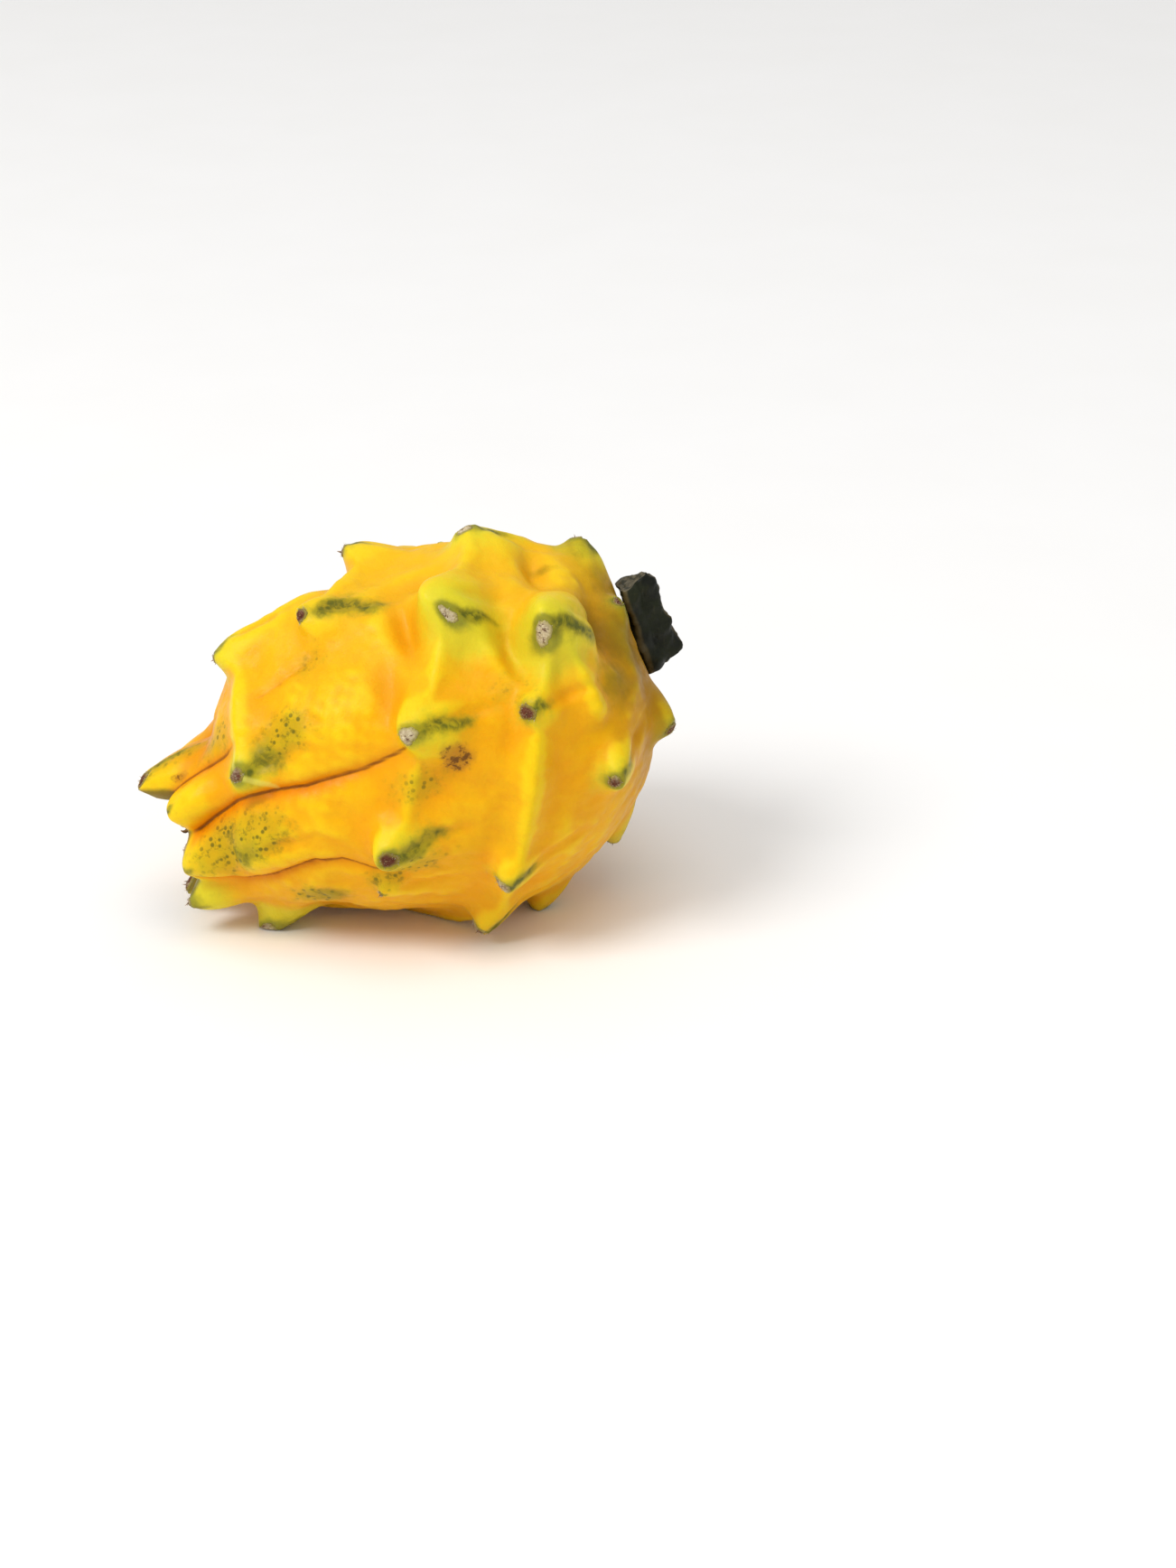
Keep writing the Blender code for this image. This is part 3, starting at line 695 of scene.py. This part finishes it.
class Paint:
    """Adds shader nodes to one new material. Any input takes a plain value or another node's output."""

    def __init__(self, name):
        self.material = bpy.data.materials.new(name)
        self.material.use_nodes = True
        self.tree = self.material.node_tree
        self.shader = self.tree.nodes["Principled BSDF"]
        self.place = self.put("ShaderNodeTexCoord", {}, "Object")
        self.colour = WHITE

    def plug(self, socket, value):
        if isinstance(value, bpy.types.NodeSocket):
            self.tree.links.new(value, socket)
        else:
            socket.default_value = value

    def put(self, kind, inputs, output=0, **settings):
        """One output of a new node."""
        node = self.tree.nodes.new(kind)
        for key, value in settings.items():
            setattr(node, key, value)
        for key, value in inputs.items():
            self.plug(node.inputs[key], value)
        return node.outputs[output]

    def mask(self, name):
        """A value that the mesh holds."""
        return self.put("ShaderNodeAttribute", {}, "Fac", attribute_name=name)

    def noise(self, size, detail=3, roughness=0.5, stretch=None, distortion=0):
        """Noise whose features are about size millimetres wide."""
        place = self.place
        if stretch:
            place = self.put("ShaderNodeMapping", {"Vector": place, "Scale": stretch})
        inputs = {"Vector": place, "Scale": 1000 / size, "Detail": detail, "Roughness": roughness,
                  "Distortion": distortion}
        return self.put("ShaderNodeTexNoise", inputs, "Fac")

    def cells(self, size, output="Distance"):
        """Cells about size millimetres wide: the distance from their middle, or their colour."""
        return self.put("ShaderNodeTexVoronoi", {"Vector": self.place, "Scale": 1000 / size}, output)

    def calc(self, operation, first, second=0):
        return self.put("ShaderNodeMath", {0: first, 1: second}, operation=operation)

    def scale(self, value, factor):
        return self.calc("MULTIPLY", value, factor)

    def total(self, *parts):
        """Sum of values, each given with its weight."""
        first, *others = [self.scale(value, weight) for value, weight in parts]
        for other in others:
            first = self.calc("ADD", first, other)
        return first

    def span(self, value, low, high, start=0, end=1):
        """From start at low to end at high, with a smooth start and end."""
        inputs = {"Value": value, "From Min": low, "From Max": high, "To Min": start, "To Max": end}
        return self.put("ShaderNodeMapRange", inputs, interpolation_type="SMOOTHSTEP")

    def worn(self, name, amount, by):
        """A mask with its edge broken up by a noise."""
        return self.calc("ADD", self.mask(name), self.scale(self.calc("SUBTRACT", by, 0.5), amount))

    def mix(self, share, first, second):
        return self.put("ShaderNodeMix", {0: share, 6: first, 7: second}, 2, data_type="RGBA")

    def coat(self, share, strength, tone):
        """Lays a tone over the colour so far, where the share is high."""
        self.colour = self.mix(self.scale(share, strength), self.colour, tone)

    def shade(self, share, dark):
        """Multiplies the colour so far by dark where the share is low."""
        inputs = {0: 1, 6: self.colour, 7: self.mix(share, dark, WHITE)}
        self.colour = self.put("ShaderNodeMix", inputs, 2, data_type="RGBA", blend_type="MULTIPLY")

    def finish(self, roughness, height, distance, **sockets):
        """The material with its colour, roughness and a bump of distance millimetres."""
        bump = self.put("ShaderNodeBump", {"Height": height, "Distance": distance * MM, "Strength": 1})
        self.plug(self.shader.inputs["Base Color"], self.colour)
        self.plug(self.shader.inputs["Roughness"], roughness)
        self.plug(self.shader.inputs["Normal"], bump)
        for name, value in sockets.items():
            self.shader.inputs[name.replace("_", " ")].default_value = value
        return self.material


# Layers of the peel's colour by their mask: how much noise wears the mask, the values between which the
# layer comes in, its strength and its tone
PEEL_LAYERS = {
    # hollow: painted shade, darker orange in the hollows
    "hollow": (0.5, 0.1, 0.9, 0.5, rgb(214, 130, 6)),
    "lime": (0.5, 0.25, 1, 0.7, rgb(216, 214, 50)),
    "olive_and_shade": (0.6, 0.25, 0.95, 0.8, rgb(128, 112, 12)),
    "ring": (0.9, 0.12, 1.1, 0.85, rgb(126, 126, 42)),
    "streak": (0.9, 0.1, 0.75, 0.75, rgb(150, 140, 28)),
    "speckle": (0.7, 0.1, 0.7, 0.6, rgb(180, 156, 18)),
    "scab": (0.8, 0.3, 0.8, 0.7, rgb(182, 122, 34)),
    # fold and line: painted shade, orange in the folds and a dark line along their bottoms
    "fold": (0.4, 0.2, 1, 0.7, rgb(226, 124, 3)),
    "line": (0.5, 0.25, 0.9, 0.8, rgb(128, 70, 10)),
    "mouth": (0.5, 0.2, 0.9, 0.8, rgb(98, 84, 30)),
    "ray": (0.6, 0.3, 0.9, 0.5, rgb(232, 222, 104)),
}
YELLOW, ORANGE_YELLOW = rgb(243, 180, 4), rgb(239, 168, 5)
# The valley tone is partly the peel's own orange and partly painted shade; the crest tone is partly its own
# lemon and partly painted light
VALLEY_TONE_AND_SHADE, CREST_TONE_AND_LIGHT = rgb(238, 160, 4), rgb(246, 208, 16)
# The top tone is painted light
UNDERSIDE, TOPSIDE_LIGHT = rgb(212, 150, 22), rgb(246, 202, 34)
# The stem end tone is partly the fruit's own greener end and partly painted shade
STEM_END_TONE_AND_SHADE = rgb(146, 104, 10)
STREAK_CORE, SPECK, CRUST = rgb(72, 82, 24), rgb(92, 90, 20), rgb(84, 46, 18)
PORE_SHADE = (0.9, 0.9, 0.88, 1)


def peel_paint():
    """Yellow waxy peel with green, dull green and brown markings. Painted shade makes its valleys, hollows
    and folds more orange and its stem end darker, and painted light makes its crests and top lighter, partly
    over the peel's own tones.
    """
    p = Paint("waxy_peel")
    drift = p.noise(16, 2)
    mottle = p.noise(3.2, 4, 0.6)
    blotch = p.noise(7, 3, 0.6, distortion=0.6)
    grain = p.noise(0.7, 3, 0.6)

    def layer(name):
        """Lays one of the layers over the colour and gives back where it lies."""
        wear, low, high, strength, tone = PEEL_LAYERS[name]
        share = p.span(p.worn(name, wear, mottle), low, high)
        p.coat(share, strength, tone)
        return share

    # Painted shade and light on the relief, over the peel's own tones: more orange in the valleys, lighter
    # lemon on the crests
    valley_tone_and_shade = p.span(p.worn("broad", 0.5, drift), 0.62, 0.12)
    crest = p.span(p.total((p.mask("broad"), 0.85), (p.mask("fine"), 0.35)), 0.7, 1.2)
    crest = p.scale(crest, p.span(mottle, 0.25, 0.6, 0.65, 1))
    p.colour = p.mix(p.span(blotch, 0.35, 0.7), YELLOW, ORANGE_YELLOW)
    p.coat(valley_tone_and_shade, 0.85, VALLEY_TONE_AND_SHADE)
    p.coat(crest, 0.9, CREST_TONE_AND_LIGHT)
    # Painted shade in the hollows
    layer("hollow")
    p.coat(p.worn("low", 0.4, mottle), 0.3, UNDERSIDE)
    # Painted light: lighter and yellower towards the top
    p.coat(p.worn("high", 0.4, mottle), 0.5, TOPSIDE_LIGHT)
    layer("lime")
    # Dull green patches, partly painted shade
    layer("olive_and_shade")
    # Darker stem end: partly its own greener tone, partly painted shade, kept lighter on the crests
    stemward_tone_and_shade = p.calc("SUBTRACT", p.worn("stemward_tone_and_shade", 1.1, drift), p.scale(crest, 0.3))
    p.coat(p.span(stemward_tone_and_shade, 0, 0.95), 0.75, STEM_END_TONE_AND_SHADE)
    layer("ring")

    layer("streak")
    beads = p.span(p.cells(2.2), 0.6, 0.2)
    flecks = p.span(p.noise(3, 5, 0.66, distortion=0.8), 0.4, 0.62)
    core = p.scale(p.span(p.worn("streak", 1.1, mottle), 0.4, 1), p.calc("MAXIMUM", beads, flecks))
    p.coat(core, 0.85, STREAK_CORE)

    speckle = layer("speckle")
    dots = p.scale(p.span(p.cells(1.5), 0.42, 0.22), p.span(p.cells(1.5, "Color"), 0.3, 0.4))
    dots = p.calc("MAXIMUM", dots, p.scale(p.span(p.noise(2.2, 5, 0.7), 0.5, 0.64), 0.75))
    p.coat(p.scale(speckle, dots), 0.8, SPECK)
    scab = layer("scab")
    p.coat(p.scale(scab, p.span(p.noise(1.8, 4, 0.7), 0.5, 0.62)), 0.8, CRUST)

    # The fold and line layers are painted shade; the mouth and ray layers are the peel's own colour
    for name in ("fold", "line", "mouth", "ray"):
        layer(name)
    p.shade(grain, PORE_SHADE)
    roughness = p.span(p.noise(1.6, 3), 0.3, 0.7, 0.34, 0.5)
    pores = p.span(p.cells(0.8), 0, 0.35)
    height = p.total((p.noise(1.5, 3, 0.55), 0.6), (grain, 0.25), (pores, 0.15))
    return p.finish(
        roughness, height, 0.18,
        Subsurface_Weight=0.12, Subsurface_Radius=(1, 0.45, 0.1), Subsurface_Scale=0.003,
        Specular_IOR_Level=0.13,
    )


PALE_FELT, BROWN_FELT = rgb(222, 208, 172), rgb(108, 64, 46)
FELT_SHADE = (0.62, 0.56, 0.5, 1)
FELT_SPECK, FELT_RIM = rgb(84, 40, 26), rgb(160, 148, 66)


def felt_paint():
    """Felt of the areoles, pale or brown as each pad's tone says, with a dull yellow-green rim."""
    p = Paint("areole_felt")
    wool = p.noise(0.5, 4, 0.7)
    stain = p.noise(1.4, 3, 0.6)
    p.colour = p.mix(p.span(p.worn("tone", 1.2, stain), 0.2, 0.8), PALE_FELT, BROWN_FELT)
    p.shade(p.span(wool, 0.3, 0.7), FELT_SHADE)
    p.coat(p.span(p.noise(1.1, 3, 0.6), 0.56, 0.64), 0.8, FELT_SPECK)
    p.coat(p.span(p.mask("rim"), 0.5, 1), 0.8, FELT_RIM)
    return p.finish(0.92, wool, 0.12, Specular_IOR_Level=0.15)


SPINE_FOOT, SPINE_TIP = rgb(84, 52, 32), rgb(176, 140, 96)
SPINE_SHADE = (0.6, 0.6, 0.6, 1)


def spine_paint():
    """Dry wood of the spine stubs, lighter towards their tips."""
    p = Paint("spine_wood")
    p.colour = p.mix(p.span(p.mask("along"), 0.1, 0.9), SPINE_FOOT, SPINE_TIP)
    p.shade(p.noise(0.4, 3), SPINE_SHADE)
    return p.finish(p.span(p.noise(0.6), 0.3, 0.7, 0.5, 0.8), p.noise(0.3, 2), 0.03)


def wool_paint():
    """Pale and brown hairs of the areoles."""
    p = Paint("areole_wool_hair")
    p.colour = p.mix(p.noise(3, 3), rgb(226, 214, 190), rgb(150, 122, 92))
    return p.finish(p.span(p.noise(0.8), 0.3, 0.7, 0.8, 0.95), p.noise(0.2, 2), 0.01)


STEM_DARK, STEM_GREEN, STEM_GRAIN = rgb(14, 17, 8), rgb(30, 34, 15), rgb(56, 52, 26)
STEM_CREST = rgb(96, 82, 48)
PITH_PALE, PITH_DARK, PITH_RING = rgb(112, 104, 84), rgb(62, 58, 44), rgb(28, 32, 22)


def stem_paint():
    """Dark green skin of the stem, worn brown along its ribs, and the pith on its cut ends."""
    p = Paint("stem_skin")
    blotch = p.noise(5, 4, 0.6)
    grain = p.noise(0.9, 4, 0.65, stretch=(1, 1, 0.35))
    p.colour = p.mix(p.span(blotch, 0.35, 0.65), STEM_DARK, STEM_GREEN)
    p.coat(p.span(grain, 0.55, 0.75), 0.5, STEM_GRAIN)
    p.coat(p.span(p.calc("ADD", p.mask("rib"), blotch), 1, 1.5), 0.6, STEM_CREST)
    pith = p.mix(p.span(p.noise(1.1, 4, 0.7), 0.3, 0.7), PITH_PALE, PITH_DARK)
    pith = p.mix(p.scale(p.mask("ring"), 0.8), pith, PITH_RING)
    p.colour = p.mix(p.span(p.mask("cut"), 0.3, 0.6), p.colour, pith)
    roughness = p.span(blotch, 0.3, 0.7, 0.42, 0.62)
    height = p.total((grain, 0.6), (p.noise(2.2, 3), 0.4))
    return p.finish(roughness, height, 0.3, Specular_IOR_Level=0.2)


FIBRE_DARK, FIBRE_PALE = rgb(88, 58, 34), rgb(150, 112, 72)
FIBRE_STAIN, FIBRE_TIP = rgb(52, 36, 24), rgb(184, 150, 104)


def scar_paint():
    """Dry brown fibres of the flower, paler at the tips of the shreds."""
    p = Paint("dried_flower")
    fibre = p.noise(0.45, 4, 0.7, stretch=(0.3, 1, 1))
    p.colour = p.mix(p.span(fibre, 0.3, 0.7), FIBRE_DARK, FIBRE_PALE)
    p.coat(p.span(p.noise(2.6, 3), 0.5, 0.75), 0.7, FIBRE_STAIN)
    p.coat(p.mask("along"), 0.5, FIBRE_TIP)
    return p.finish(0.88, fibre, 0.2, Specular_IOR_Level=0.2)


# Areoles
PAD_RINGS = 8
PAD_SEGMENTS = 24
PAD_HEIGHT = 0.42
PAD_LIFT = 0.12
PAD_LUMPS = 0.3
LUMP_LENGTH = 1.5
# Depths of the pad's edge and of its underside in the peel
PAD_SINK = (0.25, 0.5)
# Uneven outline of a pad: height, waves round it, and whether arc (0) or turn (1) sets their phase
PAD_OUTLINE = ((0.13, 2, 1), (0.1, 3, 0), (0.05, 8, 0))
SPINES = (2, 5)
SPINE_SIDES = 5
SPINE_LENGTH = (0.9, 1.7)
SPINE_RADIUS = (0.13, 0.2)
SPINE_BOW = (0, 0.1)
SPINE_SPREAD = 0.6
WOOL_TUFTS = 70
WOOL_SIDES = 3
WOOL_LENGTH = (0.5, 0.95)
WOOL_RADIUS = 0.05
WOOL_SPREAD = 0.8
BOX_MARGIN = 0.02


class Gather:
    """Collects the vertices, faces and masks of many small forms for one mesh."""

    def __init__(self, *masks):
        self.points, self.faces, self.count = [], [], 0
        self.masks = {name: [] for name in masks}

    def add(self, points, faces, **masks):
        self.points.append(points)
        self.faces += [tuple(self.count + k for k in face) for face in faces]
        self.count += len(points)
        for name, values in masks.items():
            self.masks[name].append(np.broadcast_to(np.asarray(values, float), (len(points),)))

    def add_spike(self, foot, head, radius, sides, bow):
        """Adds a thin cone from foot to head, bowed aside."""
        axis = (head - foot) / np.linalg.norm(head - foot)
        across = np.cross(axis, (0.3, 0.5, 0.8))
        across /= np.linalg.norm(across)
        third = np.cross(axis, across)
        angle = 2 * np.pi * np.arange(sides) / sides
        circle = np.cos(angle)[:, None] * across + np.sin(angle)[:, None] * third
        middle = (foot + head) / 2 + bow * across
        points = np.vstack([foot, foot + radius * circle, middle + 0.75 * radius * circle, head])
        faces = []
        low, high, last = 1, 1 + sides, 1 + 2 * sides
        for j in range(sides):
            k = (j + 1) % sides
            faces += [(0, low + k, low + j), (low + j, low + k, high + k, high + j)]
            faces.append((high + j, high + k, last))
        self.add(points, faces, along=np.repeat([0, 0.5, 1], (1 + sides, sides, 1)))

    def piece(self, name, material, slot):
        piece = piece_from(name, inside_box(np.concatenate(self.points)), self.faces, material)
        for key, values in self.masks.items():
            set_mask(piece, key, np.concatenate(values))
        return piece


def inside_box(points):
    """Points kept inside the solids' box."""
    low, high = (np.array(corner) / MM for corner in CAD_BOX)
    return np.clip(points, low + BOX_MARGIN, high - BOX_MARGIN)


def pad_place(fruit, tip, areole, share, angle):
    """Points of the peel at a share of the pad's radius and an angle round its middle."""
    uneven = 1
    for height, waves, k in PAD_OUTLINE:
        uneven = uneven + height * np.sin(waves * angle + tip[k])
    reach = share * areole[0] * uneven
    arc = tip[0] - areole[6] + reach * np.cos(angle)
    aside = areole[7] + reach * np.sin(angle)
    return fruit.surface(arc, np.radians(tip[1]) + aside / fruit.radius(arc))


def build_areoles(fruit):
    """Felt pads seated in the peel, with a few short spine stubs and wool on each."""
    rng = np.random.default_rng(SEED + 2)
    pads, spines, wool = Gather("tone", "rim"), Gather("along"), Gather("along")
    share, turn = net_places(PAD_RINGS, PAD_SEGMENTS, 1)
    spread = np.minimum(share * PAD_RINGS / (PAD_RINGS - 1), 1)
    faces = closed_net(PAD_RINGS, PAD_SEGMENTS)
    for tip, areole in zip(fruit.tips, fruit.areoles):
        pad, tone = areole[:2]
        if not pad:
            continue
        _, normal, blossomward = place(fruit.line, float(tip[0]), np.radians(tip[1]))
        out = lay(normal + LEAN * blossomward) - lay(np.zeros(3))
        out /= np.linalg.norm(out)

        points = pad_place(fruit, tip, areole, spread, turn)
        lump = ripple(points, LUMP_LENGTH, 5 + len(pads.points))
        points[-1] = pad_place(fruit, tip, areole, np.zeros(1), np.zeros(1))[0]
        rise = PAD_HEIGHT * (1 - spread ** 2) ** 0.6 * (1 + PAD_LUMPS * lump) + PAD_LIFT
        rise = np.where(spread > 0.99, -PAD_SINK[0], rise)
        rise[-1] = -PAD_SINK[1]
        pads.add(points + rise[:, None] * out, faces, tone=tone, rim=spread)

        for _ in range(rng.integers(*SPINES)):
            share_out, angle = rng.uniform(0, 0.5), rng.uniform(0, 2 * np.pi)
            foot = pad_place(fruit, tip, areole, np.array([share_out]), np.array([angle]))[0]
            aim = out + SPINE_SPREAD * rng.normal(size=3)
            head = foot + aim / np.linalg.norm(aim) * rng.uniform(*SPINE_LENGTH)
            radius, bow = rng.uniform(*SPINE_RADIUS), rng.uniform(*SPINE_BOW)
            spines.add_spike(foot, head, radius, SPINE_SIDES, bow)
        shares = np.sqrt(rng.uniform(0, 0.9, WOOL_TUFTS))
        for foot in pad_place(fruit, tip, areole, shares, rng.uniform(0, 2 * np.pi, WOOL_TUFTS)):
            aim = out + WOOL_SPREAD * rng.normal(size=3)
            head = foot + aim / np.linalg.norm(aim) * rng.uniform(*WOOL_LENGTH)
            wool.add_spike(foot, head, WOOL_RADIUS, WOOL_SIDES, 0)
    pads.piece("areole_pads", felt_paint(), "scar")
    spines.piece("spine_stubs", spine_paint(), "scar")
    wool.piece("areole_wool", wool_paint(), "scar")


# Stem piece and flower scar
STEM_FOOT = (57.7, 3, -4.5)
STEM_HEAD = (56.1, 3, 15.5)
STEM_RADIUS = (4.1, 3.4)
STEM_RIBS = 3
STEM_RIB = 0.28
STEM_RINGS = 60
STEM_SEGMENTS = 96
STEM_CAP = 0.2
RIB_WAVE = 0.16
RIB_WAVES = 8
# Short neck that held the fruit
NECK_REACH = 2.6
NECK_PLACE = 0.45
NECK_HALF_LENGTH = 0.16
CUT_DISH = 0.35
# Unevenness of the skin and of the cut ends: height, wavelength and seed
SKIN_RIPPLES = ((0.45, 6, 24), (0.2, 2.6, 21), (0.09, 1.2, 22))
CUT_RIPPLE = (0.3, 2.4, 23)
# Ring in the pith of the cut ends: its place and half width as shares of the radius
PITH_RING_PLACE = 0.55
PITH_RING_WIDTH = 0.12


def build_stem():
    """Three-ribbed piece of stem with a clean cut at both ends and the short neck that held the fruit."""
    share, turn = net_places(STEM_RINGS, STEM_SEGMENTS, 1)
    foot, head = np.array(STEM_FOOT), np.array(STEM_HEAD)
    axis = (head - foot) / np.linalg.norm(head - foot)
    across = np.array([0, 1, 0])
    toward = -np.cross(axis, across)
    along = np.clip((share - STEM_CAP) / (1 - 2 * STEM_CAP), 0, 1)
    end = np.clip(np.minimum(share, 1 - share) / STEM_CAP, 0, 1)
    girth = (STEM_RADIUS[0] + (STEM_RADIUS[1] - STEM_RADIUS[0]) * along) * end
    wavy = 1 + RIB_WAVE * np.sin(RIB_WAVES * along + 2 * np.cos(turn))
    facing = np.maximum(-np.cos(turn), 0) ** 3
    neck = NECK_REACH * facing * bell(along - NECK_PLACE, NECK_HALF_LENGTH) * (end > 0.99)
    girth = girth * (1 + STEM_RIB * np.cos(STEM_RIBS * turn) * wavy) + neck
    dish = -CUT_DISH * (1 - end ** 2) ** 2 * np.sign(share - 0.5)
    points = foot + along[:, None] * (head - foot) + dish[:, None] * axis
    points = points + (girth * np.cos(turn))[:, None] * toward + (girth * np.sin(turn))[:, None] * across
    rough = sum(height * ripple(points, wavelength, seed) for height, wavelength, seed in SKIN_RIPPLES)
    outward = np.cos(turn)[:, None] * toward + np.sin(turn)[:, None] * across
    points = points + (rough * ramp(end, (0.5, 1)))[:, None] * outward
    height, wavelength, seed = CUT_RIPPLE
    points = points + (height * ripple(points, wavelength, seed) * (end < 0.98))[:, None] * axis
    faces = closed_net(STEM_RINGS, STEM_SEGMENTS)
    piece = piece_from("stem", inside_box(lay(points) * FIT), faces, stem_paint())
    set_mask(piece, "cut", end < 0.97)
    set_mask(piece, "ring", bell(end - PITH_RING_PLACE, PITH_RING_WIDTH))
    set_mask(piece, "rib", np.clip(np.cos(STEM_RIBS * turn), 0, 1) ** 4)
    face_out(piece)
    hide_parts("stem_stub")


SCAR_LATHE = (
    (-43.3, 0), (-43.7, 2.8), (-45.2, 4.1), (-47.6, 4.5), (-50.8, 4), (-50, 2.6), (-48.2, 1.3),
    (-47.8, 0),
)
SCAR_RINGS = 48
SCAR_SEGMENTS = 120
# Torn edge of the cup
TEAR_DEPTH = 0.7
TEAR_PLACE = 0.55
TEAR_HALF_LENGTH = 0.12
SHREDS = 26
SHRED_POINTS = 9
SHRED_FOOT = -48.6
SHRED_THICKNESS = 0.12
# Seeded spans of a shred's turn, start off the axis, length, curl, twist and half width
SHRED_SPANS = ((0, 2 * np.pi), (1.6, 4), (2, 4.6), (-0.5, 0.9), (-1.2, 1.2), (0.35, 0.9))


def flower_cup():
    """Points of the ragged cup, and how much it is torn at each."""
    share, turn = net_places(SCAR_RINGS, SCAR_SEGMENTS, 1)
    arc, axial, radius = lathe_line(SCAR_LATHE, LATHE_STEPS)
    reach = np.interp(share * arc[-1], arc, axial)
    out = np.interp(share * arc[-1], arc, radius)
    torn = np.sin(np.pi * share) ** 2
    out = out * (1 + torn * (0.16 * np.sin(7 * turn) + 0.06 * np.sin(23 * turn + 3 * reach)))
    notch = bell(share - TEAR_PLACE, TEAR_HALF_LENGTH)
    reach = reach - TEAR_DEPTH * torn * (0.5 + 0.5 * np.sin(11 * turn + 1)) * notch
    return polar(reach, out, turn), torn


def shred(rng):
    """Points of one curled and twisted strip, and the share along it."""
    angle, start, length, curl, twist, width = (rng.uniform(*span) for span in SHRED_SPANS)
    u = np.linspace(0, 1, SHRED_POINTS)
    out = start + curl * length * u ** 2 * 0.6
    ahead = SHRED_FOOT - length * u * (1 - 0.25 * abs(curl) * u)
    sweep = angle + twist * 0.35 * u + 0.1 * np.sin(6 * u + start)
    spine = polar(ahead, out, sweep)
    roll = angle + twist * u
    side = np.stack([0 * u, -np.sin(roll), np.cos(roll)], -1)
    thick = SHRED_THICKNESS * polar(0 * u, 1, roll)
    broad = width * (1 - 0.75 * u ** 1.5)[:, None]
    strip = [spine + broad * side, spine + thick, spine - broad * side, spine - thick]
    return np.stack(strip, 1).reshape(-1, 3), np.repeat(u, 4)


def build_scar():
    """Torn, dried foot of the flower in the blossom hollow: a ragged cup with shreds of its tube."""
    gather = Gather("along")
    points, torn = flower_cup()
    gather.add(lay(points) * FIT, closed_net(SCAR_RINGS, SCAR_SEGMENTS), along=0.25 + 0.5 * torn)
    faces = [(3, 2, 1, 0), tuple(4 * (SHRED_POINTS - 1) + k for k in range(4))]
    for i in range(SHRED_POINTS - 1):
        for j in range(4):
            k = (j + 1) % 4
            faces.append((4 * i + j, 4 * i + k, 4 * i + 4 + k, 4 * i + 4 + j))
    rng = np.random.default_rng(SEED + 3)
    for _ in range(SHREDS):
        points, u = shred(rng)
        gather.add(lay(points) * FIT, faces, along=0.4 + 0.6 * u)
    piece = gather.piece("dried_flower", scar_paint(), "scar")
    face_out(piece)
    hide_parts("flower_scar")


# Stage, light and camera
FLOOR_HALF = 3
FLOOR_GAP = 0.0002
WORLD_STRENGTH = 0.55


def build_stage():
    """Plain pale floor, in metres, a hair under the fruit."""
    paint = Paint("pale_floor")
    grain = paint.noise(40, 2)
    paint.colour = paint.mix(grain, rgb(250, 249, 247), rgb(253, 252, 251))
    material = paint.finish(0.7, grain, 0.02)
    mesh = bpy.data.meshes.new("floor")
    signs = ((-1, -1), (1, -1), (1, 1), (-1, 1))
    corners = [(x * FLOOR_HALF, y * FLOOR_HALF, -FLOOR_GAP) for x, y in signs]
    mesh.from_pydata(corners, [], [(0, 1, 2, 3)])
    mesh.materials.append(material)
    floor = new_object("floor", mesh)


def direction(azimuth, elevation):
    """Unit vector from the fruit at angles round it and above it, in degrees."""
    a, e = np.radians([azimuth, elevation])
    return Vector((np.sin(a) * np.cos(e), -np.cos(a) * np.cos(e), np.sin(e)))


def add_light(name, azimuth, elevation, distance, size, power):
    """Round soft light that looks at the fruit."""
    away = direction(azimuth, elevation)
    data = bpy.data.lights.new(name, "AREA")
    data.shape = "DISK"
    data.size = size
    data.energy = power
    light = new_object(name, data)
    light.location = away * distance
    light.rotation_euler = away.to_track_quat("Z", "Y").to_euler()


def light_scene():
    """Even white surroundings, a key light from the left and a softer one from above."""
    world = bpy.data.worlds.new("studio")
    bpy.context.scene.world = world
    world.use_nodes = True
    inputs = world.node_tree.nodes["Background"].inputs
    inputs["Color"].default_value = WHITE
    inputs["Strength"].default_value = WORLD_STRENGTH
    add_light("key", azimuth=-60, elevation=48, distance=2.4, size=1.1, power=31)
    add_light("top", azimuth=0, elevation=75, distance=2.4, size=1.6, power=13)
    bpy.context.scene.view_settings.view_transform = "Standard"


# Size of the photograph, the pixel where a point of the fruit is seen, and that point of the part
PHOTO = (1302, 1736)
LENS = 85
SENSOR = 36
CAMERA_TURN = -9
CAMERA_UP = 24
AIM_POINT = (-1.03, -1.16, 37.6)
AIM_PIXEL = (452, 822)
PIXELS_PER_MM = 5.108 / FIT


def add_camera():
    """The photograph's view: one point of the fruit is put at its pixel, at the photograph's scale."""
    back = direction(CAMERA_TURN, CAMERA_UP)
    right = Vector((np.cos(np.radians(CAMERA_TURN)), np.sin(np.radians(CAMERA_TURN)), 0))
    up = back.cross(right)
    focal = LENS / SENSOR * max(PHOTO)
    aside = (PHOTO[0] / 2 - AIM_PIXEL[0]) / PIXELS_PER_MM
    above = (AIM_PIXEL[1] - PHOTO[1] / 2) / PIXELS_PER_MM
    data = bpy.data.cameras.new("camera")
    data.lens = LENS
    data.sensor_width = SENSOR
    camera = new_object("camera", data)
    spot = Vector(AIM_POINT) * FIT + back * (focal / PIXELS_PER_MM) + right * aside + up * above
    axes = Matrix((right, up, back)).transposed()
    camera.matrix_world = Matrix.Translation(spot * MM) @ axes.to_4x4()
    bpy.context.scene.camera = camera


fruit = Fruit()
build_peel(fruit, peel_paint())
build_areoles(fruit)
build_stem()
build_scar()
build_stage()
light_scene()
add_camera()
